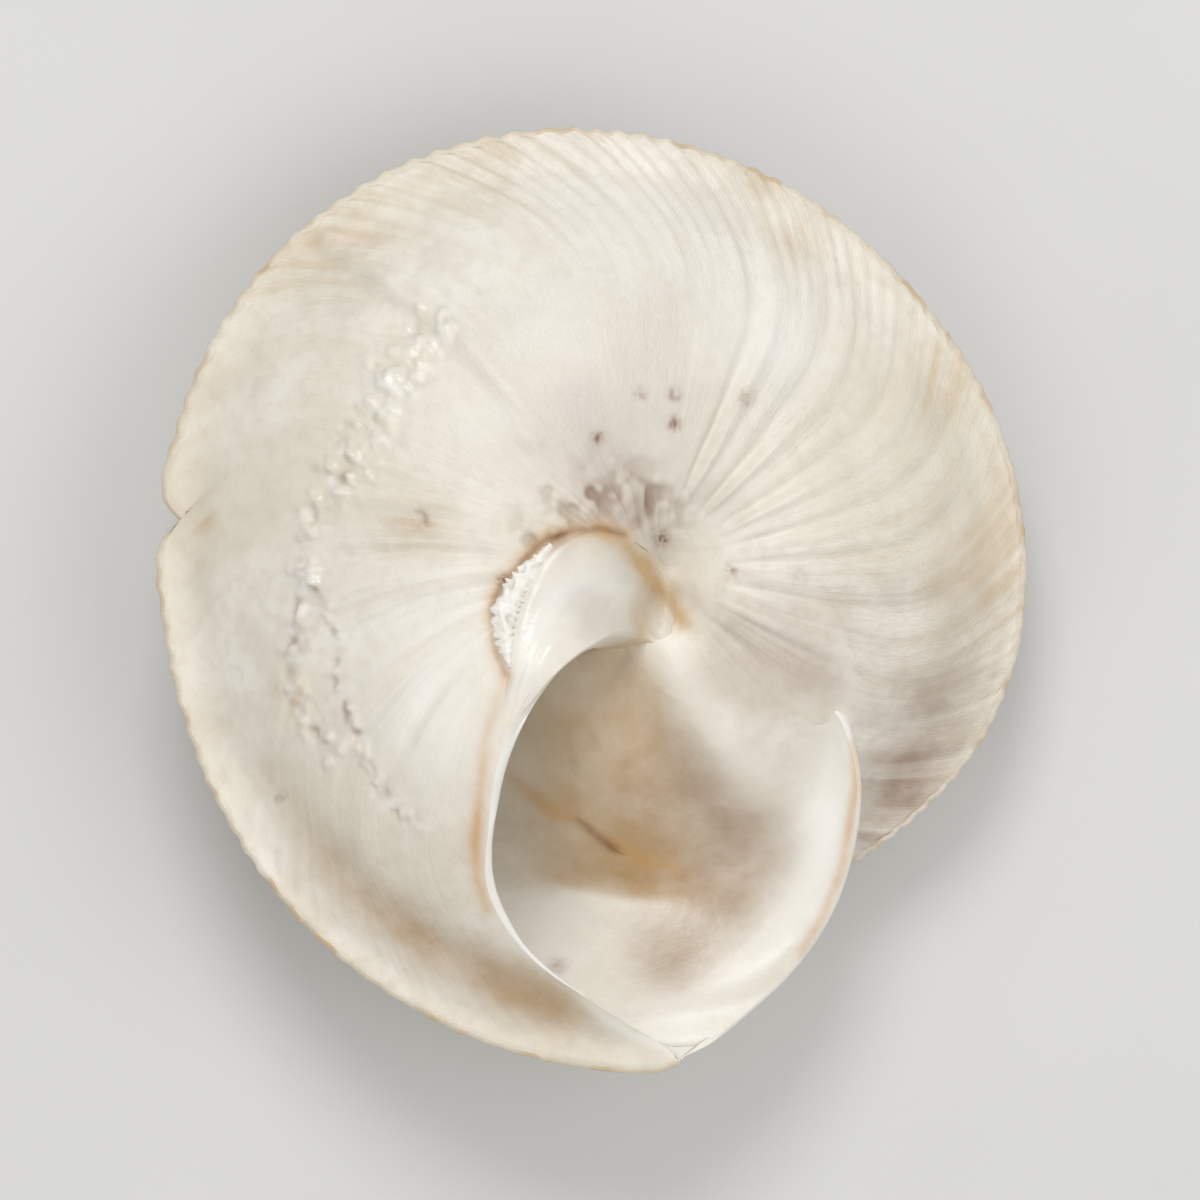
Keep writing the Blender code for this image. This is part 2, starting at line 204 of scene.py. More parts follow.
FAN_OF_FOLDS = ((395, 560), (415, 620), (435, 690))
# The ridge that runs down the inner wall of the mouth, and the hollow left of it
PARIETAL_RIDGE = ((640, 625), (660, 650), (677, 687), (703, 712), (723, 747), (750, 790), (800, 835))
PARIETAL_HOLLOW = ((600, 650), (628, 690), (650, 735), (688, 790))
# Low ridges and grooves as line, width and height, and where those of the wall fade out upwards
BASE_RIDGES = (
    (CREASE, 0.30, 0.15), (CREASE_FOOT, 0.34, -0.09), (RIM_BAND, 0.40, 0.08), (RIM_GROOVE, 0.50, -0.10),
)
WALL_RIDGES = ((PARIETAL_RIDGE, 0.72, 0.20), (PARIETAL_HOLLOW, 0.9, -0.14))
WALL_HEIGHTS = (6.4, 5.9)

# Sampling
ROW_STEPS = ((-1536, 4.0), (-1080, 3.0), (-760, 1.6), (-430, 0.8), (-380, 0.42))
BASE_START = -430
BASE_PARTING = -206
UPPER_COLUMNS = 30
BEAD_COLUMNS = 5
BASE_COLUMNS = 150
BASE_EDGE = 0.985
COLUMN_CROWDING = 1.05
LIP_START = -0.7
RIM_BULGE = 0.12
NOISE_SIZE = 256
# The disc behind the opening of the first whorl on the resting flat, and how far apart the columns of
# the keel stay where the flat cuts them
FLAT_RADIUS = 1.9
FLAT_DEPTH = 0.05
FLAT_ROWS, FLAT_COLUMNS = 24, 72
FLAT_STEP = 0.006


def curve_through(knots):
    """A smooth curve through knots, straight beyond its ends."""
    xs, ys = np.array(knots, float).T
    slopes = np.gradient(ys, xs)

    def value(x):
        x = np.asarray(x, float)
        inside = np.clip(x, xs[0], xs[-1])
        i = np.clip(np.searchsorted(xs, inside) - 1, 0, len(xs) - 2)
        width = xs[i + 1] - xs[i]
        u = (inside - xs[i]) / width
        start = (1 + 2 * u) * (1 - u) ** 2 * ys[i] + u * (1 - u) ** 2 * width * slopes[i]
        end = u * u * (3 - 2 * u) * ys[i + 1] - u * u * (1 - u) * width * slopes[i + 1]
        beyond = np.where(x > xs[-1], slopes[-1], slopes[0]) * (x - inside)
        return start + end + beyond

    return value


log_radius = curve_through([(angle, np.log(radius)) for angle, radius in KEEL_RADII])
base_height = curve_through(BASE_HEIGHTS)
suture_share = curve_through(SUTURE_SHARES)
inner_share = curve_through(INNER_SHARES)
line_lag = curve_through(LINE_LAGS)
lip_lag = curve_through(LIP_LAGS)
crenulation_strength = curve_through(CRENULATION_STRENGTH)


def ease(start, end, x):
    """From 0 to 1 between start and end, with soft ends."""
    u = np.clip((x - start) / (end - start), 0.0, 1.0)
    return u * u * (3 - 2 * u)


def bell(distance, width):
    return np.exp(-((distance / width) ** 2))


def plane_length(vectors):
    return np.hypot(vectors[..., 0], vectors[..., 1])


def unit(vectors):
    return vectors / np.maximum(np.linalg.norm(vectors, axis=-1, keepdims=True), 1e-9)


def noise(seed):
    """Smooth noise between -1 and 1 over a plane."""
    grid = np.random.default_rng(seed).uniform(-1, 1, (NOISE_SIZE, NOISE_SIZE))

    def value(x, y):
        i, j = np.floor(x).astype(int), np.floor(y).astype(int)
        u, v = ease(0, 1, x - i), ease(0, 1, y - j)
        corners = [grid[(i + a) % NOISE_SIZE, (j + b) % NOISE_SIZE] for a in (0, 1) for b in (0, 1)]
        low = corners[0] + (corners[1] - corners[0]) * v
        high = corners[2] + (corners[3] - corners[2]) * v
        return low + (high - low) * u

    return value


def at_pixel(x, y):
    """Place of a pixel of the photograph."""
    return np.array([(x - AXIS_PIXEL[0]) * PIXEL, (AXIS_PIXEL[1] - y) * PIXEL])


def distance_to_path(points, path):
    """Distance, seen from above, from each point to a line through places."""
    nearest = np.full(points.shape[:-1], np.inf)
    for start, end in zip(path[:, :2], path[1:, :2]):
        along = end - start
        share = np.clip(((points[..., :2] - start) @ along) / max(along @ along, 1e-12), 0, 1)
        gap = points[..., :2] - start - share[..., None] * along
        nearest = np.minimum(nearest, plane_length(gap))
    return nearest


def near_line(points, line, width):
    """1 on a line of pixels, falling off over the width."""
    return bell(distance_to_path(points, at_pixel(*np.transpose(line)).T), width)


def near_pixel(points, x, y, width):
    """1 at a pixel, falling off over the width."""
    return bell(plane_length(points[..., :2] - at_pixel(x, y)), width)


def rightward(points, start, end):
    """From 0 to 1 between two columns of the photograph."""
    return ease(at_pixel(start, 0)[0], at_pixel(end, 0)[0], points[..., 0])


def downward(points, start, end):
    """From 0 to 1 between two lines of the photograph."""
    return ease(at_pixel(0, start)[1], at_pixel(0, end)[1], points[..., 1])


def ridges_at(points, ridges):
    return sum(height * near_line(points, line, width) for line, width, height in ridges)


def keel_radius(angle):
    return np.exp(log_radius(angle))


def keel_height(angle):
    """A cone with a rounded tip, plus the last whorl's turn towards the base before the mouth."""
    cone = np.hypot(SPIRE_ROUNDING, SPIRE_SLOPE * keel_radius(angle)) - SPIRE_ROUNDING
    return cone + MOUTH_DESCENT * ease(LIP_TURN, LIP_LEAD, angle)


def base_surface(radius, angle):
    """Height of the base at this distance from the axis."""
    keel = keel_radius(angle)
    return keel_height(angle) + keel * base_height(radius / keel)


def suture(angle):
    """Distance and height of the line where this whorl joins the one before."""
    before = angle - TURN
    share = suture_share(np.maximum(angle, SUTURE_SHARES[0][0]))
    radius = share * keel_radius(before)
    return radius, base_surface(radius, before)


def upper_surface(share, angle):
    """Distance and height of the spire side, share running from the suture to the keel."""
    inner, low = suture(angle)
    outer = keel_radius(angle)
    width = outer - inner
    bulge = UPPER_BULGE * width * np.sin(np.pi * share**0.9)
    inward = (1 - share) / CORD_WIDTH
    cord = CORD_HEIGHT * width * inward * np.exp(-(inward**2))
    return inner + width * share, low + (keel_height(angle) - low) * share - bulge + cord


def place(radius, height, angle):
    azimuth = np.radians(angle + MOUTH_AZIMUTH)
    return np.stack([radius * np.cos(azimuth), radius * np.sin(azimuth), height - FLAT_HEIGHT], -1)


def lip_share(row):
    """How far the growth line at this row has turned into the slant of the lip."""
    return ease(LIP_TURN, 0, np.minimum(row, 0))


def lead(share, row):
    """How far the growth line runs ahead of its keel point on the spire side."""
    reach = LINE_LEAD + (LIP_LEAD - LINE_LEAD) * lip_share(row)
    return reach * (1 - share) ** LEAD_POWER


def lag(share, row):
    """How far the growth line falls behind its keel point on the base."""
    slant = lip_share(row)
    return (1 - slant) * line_lag(share) + slant * lip_lag(share)


def base_at(x, y, sector=0.0):
    """Height of the base over the resting flat, at a place, without this last sector of the growth."""
    angle = (np.degrees(np.arctan2(y, x)) - MOUTH_AZIMUTH + sector) % TURN - TURN - sector
    return base_surface(np.hypot(x, y), angle) - FLAT_HEIGHT


# Outside of the whorls

wander = noise(3)
grain = noise(11)


def crenulation(row):
    """A wave along the keel whose beat wanders a little."""
    phase = row * CRENULATIONS / TURN + 0.35 * wander(row * 0.11, 0.5 + 0 * row)
    height = 0.75 + 0.45 * wander(row * 0.35, 7.5 + 0 * row)
    return height * np.cos(2 * np.pi * phase) * crenulation_strength(row)


def notch(row):
    """Depth of the healed notch in the keel, which swells a little on both sides."""
    distance = np.abs(row - NOTCH_ANGLE)
    depth = NOTCH_DEPTH * np.maximum(0.0, 1 - distance / NOTCH_HALF_WIDTH) ** 1.3
    return depth - NOTCH_SWELLING * bell(distance - 2 * NOTCH_HALF_WIDTH, NOTCH_HALF_WIDTH)


def keel_shift(row, inward):
    """Radial relief near the keel: crenulations, the notch and the worn corner of the lip."""
    waviness = KEEL_WAVINESS * wander(row * 0.22, 3.5 + 0 * row)
    outward = CRENULATION * crenulation(row) + waviness
    worn = notch(row) + LIP_CORNER_WEAR * bell(row, LIP_CORNER_WIDTH)
    return outward * np.exp(-inward / CRENULATION_REACH) - worn * np.exp(-inward / NOTCH_REACH)


def wall_ends(row):
    """Growth angle and radius of the inner wall of the mouth, at the pillar and at the suture."""
    pillar_angle = row - lag(PILLAR_SHARE, row)
    inner_angle = row + lead(0.0, row)
    outer = suture(inner_angle)[0] - SUTURE_CLEARANCE
    return pillar_angle, PILLAR_SHARE * keel_radius(pillar_angle), inner_angle, outer


def past_wall(radius, angle):
    """Degrees by which this base lies behind the inner wall of the mouth."""
    pillar_angle, pillar, inner_angle, outer = wall_ends(LIP_START)
    share = np.clip((radius - pillar) / (outer - pillar), 0, 1)
    return angle + TURN - pillar_angle - (inner_angle - pillar_angle) * share


def past_suture(radius, angle):
    """0 where the next whorl covers this base, 1 beyond its suture."""
    return ease(*SUTURE_FADE, radius - suture(angle + TURN)[0])


def bareness(radius, angle):
    """0 where the next whorl or the glaze before the mouth covers this base, 1 where it is bare."""
    return np.maximum(ease(*GLAZE_FADE, past_wall(radius, angle)), past_suture(radius, angle))


def buried_depth(radius, angle):
    """How far the base sinks where the inner wall of the mouth is drawn over it."""
    sinking = ease(*BURIED_FADE, past_wall(radius, angle))
    return BURIED_DEPTH * sinking * (1 - past_suture(radius, angle))


def granular_relief(points):
    """Pustules and the cracks between them along the granular lines, and how dirty they are."""
    x, y = points[..., 0], points[..., 1]
    bumps = np.maximum(0.0, grain(x * 3.4, y * 3.4) + 0.10 + 0.5 * wander(x * 7, y * 7))
    cracks = ease(0.20, 0.75, wander(x * 4.3 + 20, y * 4.3))
    broad = near_line(points, PUSTULAR_LINE, 0.62)
    height = (PUSTULE_HEIGHT * bumps - 0.03 * cracks) * broad
    dirt = 0.22 * cracks * broad
    for line, spread in zip(GRANULAR_LINES, (0.36, 0.20)):
        height += GRANULE_HEIGHT * bumps * near_line(points, line, spread)
        height -= 0.06 * cracks * near_line(points, line, 0.15)
        dirt += (0.14 + 0.40 * cracks) * near_line(points, line, 0.13)
    return height, dirt


def pitted_relief(points):
    """The lumpy middle and the single pits, and the dirt between the lumps."""
    x, y = points[..., 0], points[..., 1]
    middle = near_line(points, PITTED_LINE, 0.62)
    lumps = grain(x * 2.9 + 9, y * 2.9) + 0.4 * wander(x * 6, y * 6)
    pits = sum(near_pixel(points, *pit, PIT_WIDTH) for pit in DARK_PITS) * (0.5 + wander(x * 9, y * 9))
    return 0.10 * middle * lumps - PIT_DEPTH * pits, 0.55 * middle * ease(0.15, -0.55, lumps)


def rib_relief(row, share):
    """Low ribs that run in from the crenulations of the keel."""
    ribs = RIB_HEIGHT * crenulation(row) * ease(*RIB_REACH, share)
    ribs = ribs * (0.6 + 0.5 * wander(row * 0.07, share * 3))
    return ribs * (0.35 + 0.65 * ease(*RIB_ROWS, row)) * (1 - 0.75 * ease(*EVEN_ROWS, row))


def wrinkle_relief(row, share, points, patchy):
    """Wrinkles along the growth lines, deeper on the glossy stretch and the fan, and fine striae."""
    wrinkled = ease(*WRINKLE_ROWS, row) * ease(*WRINKLE_REACH, share) * patchy
    wrinkles = 0.033 * grain(row * 0.42, share * 1.7) + 0.022 * wander(row * 0.95, share * 2.6)
    glossy = 0.085 * wander(row * 0.36 + 5, share * 2.2) * near_line(points, GLOSSY_WRINKLES, 1.5)
    fan = 0.075 * wander(row * 0.23 + 9, share * 1.4) * near_line(points, FAN_OF_FOLDS, 1.7)
    striae = 0.006 * grain(row * 1.1, share * 3) * (0.4 + 0.6 * patchy)
    return wrinkles * wrinkled + glossy + fan + striae


def uneven_relief(points):
    """Soft unevenness of the whole base, in three sizes."""
    x, y = points[..., 0], points[..., 1]
    broad = 0.035 * wander(x * 0.45 + 40, y * 0.45 + 40)
    return broad + 0.014 * grain(x * 1.3, y * 1.3) + 0.007 * wander(x * 3.3 + 15, y * 3.3)


def base_relief(row, share, angle, points):
    """Height of the relief, the dirt that lies in it, and how plain the growth lines are."""
    x, y = points[..., 0], points[..., 1]
    radius = np.hypot(x, y)
    patchy = 0.25 + 0.75 * ease(-0.5, 0.5, wander(x * 0.55 + 11, y * 0.55))
    outer = ease(*PLAIN_MIDDLE, radius)
    fold_share = ease(*FOLD_REACH[0], share) * ease(*FOLD_REACH[1], share)
    folds = sum(height * bell(row - at, width) for at, width, height in FOLDS) * fold_share
    granular, granular_dirt = granular_relief(points)
    pitted, pitted_dirt = pitted_relief(points)
    height = rib_relief(row, share) + folds + wrinkle_relief(row, share, points, patchy) * outer
    height = height + uneven_relief(points) + granular + pitted + ridges_at(points, BASE_RIDGES)
    bare = bareness(radius, angle)
    lined = outer * bare * (0.35 + 0.65 * patchy) * (1 - 0.6 * ease(*EVEN_ROWS, row))
    return height * bare - buried_depth(radius, angle), (granular_dirt + pitted_dirt) * bare, lined


def spire_relief(row, share):
    ribs = RIB_HEIGHT * crenulation(row) * ease(0.45, 0.95, share)
    striae = 0.020 * grain(row * 0.6, share * 2) + 0.012 * wander(row * 1.4, share * 3)
    return (striae + ribs) * ease(0.0, 0.1, share)


def outside_rows():
    rows = []
    ends = [start for start, _ in ROW_STEPS[1:]] + [LIP_START]
    for (start, step), end in zip(ROW_STEPS, ends):
        count = round((end - start) / step)
        rows.append(np.linspace(start, end, count, endpoint=False))
    return np.concatenate([*rows, [LIP_START]])[:, None]


def outside_grid(rows):
    """The outside by growth line and column: points, shares, angles and distance from the keel."""
    upper = np.sin(np.linspace(0, 0.5 * np.pi, UPPER_COLUMNS + 1))[None, :-1]
    upper_angle = rows + lead(upper, rows)
    radius, height = upper_surface(upper, upper_angle)
    near_keel = ease(0.9, 1.0, upper)
    tucked = SUTURE_TUCK * ease(0.10, 0.0, upper)
    upper_points = place(radius - BEAD * near_keel, height - BEAD * near_keel - tucked, upper_angle)
    turn = np.radians(np.linspace(-90, 90, BEAD_COLUMNS))[None, :]
    keel = keel_radius(rows)
    bead_points = place(
        keel - BEAD + BEAD * np.cos(turn), keel_height(rows) + BEAD * np.sin(turn), rows + 0 * turn
    )
    column = np.linspace(0, 1, BASE_COLUMNS + 1)[None, 1:] ** COLUMN_CROWDING
    inmost = inner_share(np.clip(rows, INNER_SHARES[0][0], 0))
    share = BASE_EDGE - (BASE_EDGE - inmost) * column
    base_angle = rows - lag(share, rows)
    base_radius = share * keel_radius(base_angle)
    height = base_surface(base_radius, base_angle) + BEAD * ease(0.92, 1.0, share)
    filling = KEEL_FILLING * bell(share - KEEL_GROOVE, KEEL_GROOVE_WIDTH) * ease(*FILLED_ROWS, rows)
    height = height + filling * base_radius
    base_points = place(base_radius, height, base_angle)
    points = np.concatenate([upper_points, bead_points, base_points], axis=1)
    shares = np.concatenate([upper - 1 + 0 * rows, 1 + 0 * turn + 0 * rows, share], axis=1)
    angles = np.concatenate([upper_angle, rows + 0 * turn, base_angle], axis=1)
    inward = np.concatenate([
        keel_radius(upper_angle) - radius, 0 * turn + 0 * rows, (1 - share) * keel_radius(base_angle)
    ], axis=1)
    return points, shares, angles, inward


def smoothed(values, spread):
    """The values averaged along their first axis over about this many places each way."""
    reach = 3 * spread
    weights = np.exp(-0.5 * (np.arange(-reach, reach + 1) / spread) ** 2)
    padded = np.concatenate([values[:1].repeat(reach, 0), values, values[-1:].repeat(reach, 0)])
    count = len(values)
    return sum(
        weight * padded[start:start + count] for start, weight in enumerate(weights / weights.sum())
    )


def grid_normals(points):
    """Unit normals of a grid of points, facing out of the shell."""
    return unit(np.cross(np.gradient(points, axis=0), np.gradient(points, axis=1)))


def relieved_outside(rows):
    """The outside with its relief, and the share, growth line, dirt and lines of every point."""
    points, shares, angles, inward = outside_grid(rows)
    row = rows + 0 * shares
    rim = UPPER_COLUMNS + BEAD_COLUMNS
    height, dirt, lined = (np.zeros(shares.shape) for _ in range(3))
    lined[:, :rim] = 1.0
    height[:, rim:], dirt[:, rim:], lined[:, rim:] = base_relief(
        row[:, rim:], shares[:, rim:], angles[:, rim:], points[:, rim:]
    )
    height[:, :UPPER_COLUMNS] = spire_relief(row[:, :UPPER_COLUMNS], shares[:, :UPPER_COLUMNS] + 1)
    outward = unit(points * (1, 1, 0))
    bare = np.where(shares > 0, bareness(plane_length(points), angles), 1.0)
    shift = keel_shift(row, np.maximum(inward, 0)) * bare
    moved = points + height[..., None] * grid_normals(points) + shift[..., None] * outward
    moved[:, rim:, 2] += wall_relief(moved[:, rim:]) * (angles[:, rim:] < NEAR_MOUTH)
    beyond_upper = np.clip(np.arange(shares.shape[1]) - UPPER_COLUMNS + 1, 0, BEAD_COLUMNS)
    moved[..., 2] = np.maximum(moved[..., 2], FLAT_STEP * beyond_upper)
    return moved, shares, row, dirt, lined


def flat_points():
    """A disc just over the resting flat, behind the small opening where the first whorl begins."""
    turn = np.linspace(0, 2 * np.pi, FLAT_COLUMNS, endpoint=False)[None, :]
    radius = np.linspace(0.01, FLAT_RADIUS, FLAT_ROWS)[:, None]
    return np.stack([radius * np.cos(turn), radius * np.sin(turn), FLAT_DEPTH + 0 * radius * turn], -1)


# Inside of the last whorl

CAVITY_UPPER_SHARES = (0.14, 0.38, 0.64)
CAVITY_BASE_SHARES = (0.80, 0.69, 0.56, 0.42, 0.30, 0.24, 0.18)
CAVITY_WALL_SHARES = (0.2, 0.42, 0.65, 0.86)
CAVITY_CORNER = 0.868
LIP_CORNER = 0.945
CORNER_WALL = 0.08
CORNER_LAG = 0.4
COLUMELLA_REACH = (0.30, 0.12)
LIP_REACH = -42
INSIDE_START, INSIDE_END, INSIDE_STEP = -430, 14, 1.0
INSIDE_COLUMNS = 150
ROW_SMOOTHING, RING_SMOOTHING = 10, 4
SMOOTHED_ROWS = (LIP_START - 2, LIP_START - 16)
CALLUS_ROWS, CALLUS_COLUMNS, CALLUS_SINK = 24, 70, 0.15
RIM_POINTS, RIM_TURNS, INNER_RIM_STEPS = 70, 9, 90
CORNER_INDEX = len(CAVITY_UPPER_SHARES)
COLUMELLA_INDEX = CORNER_INDEX + len(CAVITY_BASE_SHARES)
GLAZE_EDGE = -0.04
GLAZE_THINNING = -20


def base_ceiling(share, angle, wall):
    """Distance and height of the inner face of the base, a wall's thickness under it."""
    radius = share * keel_radius(angle)
    step = 0.05
    slope = (base_surface(radius + step, angle) - base_surface(radius - step, angle)) / (2 * step)
    rounding = COLUMELLA_ROUNDING * ease(*COLUMELLA_REACH, share)
    return radius, base_surface(radius, angle) - wall * np.hypot(1, slope) - rounding


def upper_floor(share, angle, wall):
    """Distance and height of the inner face of the spire side."""
    radius, height = upper_surface(share, angle)
    near_radius, near_height = upper_surface(share + 0.02, angle)
    slope = (near_height - height) / (near_radius - radius)
    return radius, height + wall * np.hypot(1, slope)


def inside_ring(row):
    """One growth line of the hollow: spire side, keel corner, base, pillar and whorl before."""
    thin = ease(LIP_REACH, 0, row)
    wall = WALL + (LIP_WALL - WALL) * thin
    points = []
    for share in CAVITY_UPPER_SHARES:
        angle = row + lead(share, row)
        points.append(place(*upper_floor(share, angle, wall), angle))
    keel = keel_radius(row)
    share = CAVITY_CORNER + (LIP_CORNER - CAVITY_CORNER) * thin
    ahead = np.linspace(0.3, 0.98, 18)
    floor_radii, floor_heights = upper_floor(ahead, row + 0 * ahead, wall)
    floor = np.interp(share * keel, floor_radii, floor_heights)
    ceiling = base_ceiling(share, row, wall)[1]
    lip_floor = upper_surface(np.interp(share * keel, floor_radii, ahead), row)[1] + CORNER_WALL
    lip_ceiling = base_surface(share * keel, row) - CORNER_WALL
    floor = floor + (lip_floor - floor) * thin
    ceiling = ceiling + (lip_ceiling - ceiling) * thin
    corner_angle = row - CORNER_LAG * lag(share, row)
    points.append(place(share * keel, floor + (ceiling - floor) / 3, corner_angle))
    for share in CAVITY_BASE_SHARES:
        angle = row - lag(share, row)
        points.append(place(*base_ceiling(share, angle, wall), angle))
    pillar_angle, pillar, inner_angle, outer = wall_ends(row)
    points.append(place(pillar, base_ceiling(PILLAR_SHARE, pillar_angle, wall)[1], pillar_angle))
    glaze = GLAZE_EDGE + (GLAZE - GLAZE_EDGE) * ease(INSIDE_END, GLAZE_THINNING, row)
    for share in (0.0, *CAVITY_WALL_SHARES, 1.0):
        angle = pillar_angle + (inner_angle - pillar_angle) * share
        radius = pillar + (outer - pillar) * share
        points.append(place(radius, base_surface(radius, angle - TURN) + glaze, angle))
    return np.array(points)


def ring_curve(corners, along):
    """Points on the smooth closed curve through each ring's corners, at places counted in corners."""
    total = corners.shape[-2]
    i = np.floor(along).astype(int)
    u = (along - i)[:, None]
    before, here, after, later = (corners[..., (i + shift) % total, :] for shift in (-1, 0, 1, 2))
    return 0.5 * (
        2 * here + (after - before) * u + (2 * before - 5 * here + 4 * after - later) * u**2
        + (3 * here - before - 3 * after + later) * u**3
    )


def smoothed_round(values, spread):
    """The values averaged along their closed second axis."""
    turned = np.concatenate([values, values, values], axis=1).T
    return smoothed(turned, spread)[values.shape[1]:2 * values.shape[1]].T


def inside_points():
    """The hollow's growth lines and its points, evened out behind the lip."""
    rows = np.append(np.arange(INSIDE_START, LIP_START, INSIDE_STEP), LIP_START)
    corners = np.array([inside_ring(row) for row in rows])
    rings = ring_curve(corners, np.arange(INSIDE_COLUMNS) * corners.shape[1] / INSIDE_COLUMNS)
    even = ease(*SMOOTHED_ROWS, rows)[:, None]

    def evened(values):
        rounded = smoothed_round(smoothed(values, ROW_SMOOTHING), RING_SMOOTHING)
        return values + (rounded - values) * even

    radius = plane_length(rings)
    turned = rings[..., :2] * (evened(radius) / radius)[..., None]
    return rows, relieve_wall(np.concatenate([turned, evened(rings[..., 2])[..., None]], axis=-1))


def wall_relief(points):
    """The inner wall's soft ridge and hollow, where it faces up through the mouth."""
    return ridges_at(points, WALL_RIDGES) * ease(*WALL_HEIGHTS, points[..., 2])


def relieve_wall(points):
    moved = points.copy()
    moved[..., 2] += wall_relief(points)
    return moved


def mouth_wall(places):
    """Height of the wall of the mouth, and of the base on its right, with the wall's relief."""
    height = base_at(places[..., 0], places[..., 1], MOUTH_SECTOR)
    return height + wall_relief(np.concatenate([places, height[..., None]], axis=-1))


def callus_points():
    """The thin callus in front of the mouth, sinking under the base of the whorl before."""
    rows = np.linspace(LIP_START, INSIDE_END, CALLUS_ROWS)
    corners = np.array([inside_ring(row) for row in rows])
    along = np.linspace(COLUMELLA_INDEX + 2, corners.shape[1] - 1, CALLUS_COLUMNS)
    points = ring_curve(corners, along)
    edge = ease(0.80, 1.0, np.linspace(0, 1, CALLUS_COLUMNS))[None, :]
    points[..., 2] -= CALLUS_SINK * edge * ease(LIP_START, 5, rows)[:, None]
    return relieve_wall(points)


def rim_points(outside):
    """The rounded rim of the mouth, between the last growth lines of the outside and the inside."""
    inner = inside_ring(LIP_START)
    keel_column = UPPER_COLUMNS + BEAD_COLUMNS // 2
    outer_line = even_halves(outside[-1][:keel_column + 1], outside[-1][keel_column:])
    inner_line = even_halves(
        ring_curve(inner, np.linspace(-1, CORNER_INDEX, INNER_RIM_STEPS)),
        ring_curve(inner, np.linspace(CORNER_INDEX, COLUMELLA_INDEX, INNER_RIM_STEPS)),
    )
    columns = np.arange(outside.shape[1])
    wanted = np.linspace(0, columns[-1], len(outer_line))
    forward = values_at(wanted, columns, outside[-1] - outside[-4])
    across = outer_line - inner_line
    forward -= (forward * unit(across)).sum(1, keepdims=True) * unit(across)
    forward = unit(forward)
    middle = (outer_line + inner_line) / 2
    return np.array([
        middle + across / 2 * np.cos(turn) + RIM_BULGE * np.sin(turn) * forward
        for turn in np.linspace(0, np.pi, RIM_TURNS)
    ])


def values_at(wanted, places, values):
    return np.stack([np.interp(wanted, places, column) for column in values.T], -1)


def even_halves(*halves):
    """One line through two halves, each in points at even distances."""
    even = []
    for half in halves:
        lengths = np.concatenate([[0], np.cumsum(np.linalg.norm(np.diff(half, axis=0), axis=1))])
        even.append(values_at(np.linspace(0, lengths[-1], RIM_POINTS), lengths, half))
    return np.concatenate([even[0], even[1][1:]])


# Callus pad and crust

PAD_ROWS = 150
PAD_COLUMNS = 44
SKIRT_COLUMNS = 18
CRUST_ROWS = 120
CRUST_COLUMNS = 44
CRUST_DEPTH = 0.12
CRUST_PATH = (
    (552, 545), (540, 560), (525, 577), (515, 593), (508, 612), (506, 630), (508, 648), (511, 666),
)
CRUST_WIDTHS = (0.08, 0.16, 0.28, 0.36, 0.33, 0.27, 0.20, 0.06)
CRUST_RISES = (0.10, 0.14, 0.18, 0.22, 0.22, 0.20, 0.16, 0.08)


def spline_columns(table, count):
    """Smooth curves through the columns of a table, as many rows as count."""
    table = np.array(table, float)
    places = np.arange(len(table))
    fine = np.linspace(0, len(table) - 1, count)
    columns = [curve_through(list(zip(places, column)))(fine)[:, None] for column in table.T]
    return fine[:, None], columns


def pad_points():
    """The reflected callus: a ribbon from the lip over the umbilicus, with a skirt into the mouth."""
    fine, columns = spline_columns(PAD_SECTIONS, PAD_ROWS)
    margin, edge, foot = (
        np.stack(at_pixel(columns[i], columns[i + 1]), -1) for i in (0, 2, 4)
    )
    edge_height, crown, foot_height, embedding = columns[6:]
    lowered = ease(*PAD_LOWERING, fine)
    sunk = sum(depth * ease(start, end, fine) for start, end, depth in PAD_SINKINGS)
    margin_height = smoothed(base_at(margin[..., 0], margin[..., 1]), 2) - embedding
    edge_height = edge_height + (mouth_wall(edge) + PAD_EDGE_LIFT - sunk - edge_height) * lowered
    foot_height = foot_height + (mouth_wall(foot) - PAD_FOOT_DEPTH - foot_height) * lowered
    across = np.linspace(0, 1, PAD_COLUMNS)[None, :]
    top = margin + (edge - margin) * across[..., None]
    rise = crown * np.sin(np.pi * across**0.6)
    strands = PAD_STRANDS * wander(across * 9 + 3, fine * 0.7) * np.sin(np.pi * across)
    top_height = margin_height + (edge_height - margin_height) * across + rise + strands
    down = np.linspace(0, 1, SKIRT_COLUMNS + 1)[None, 1:]
    roll = PAD_ROLL * unit(edge - margin) * np.sin(np.pi * down)[..., None]
    skirt = edge + roll + (foot - edge) * (down**2)[..., None]
    skirt_height = edge_height - (edge_height - foot_height) * (1 - np.cos(0.5 * np.pi * down))
    flat = np.concatenate([top, skirt], axis=1)
    height = np.concatenate([top_height, skirt_height], axis=1)
    return np.concatenate([flat, height[..., None]], axis=-1)


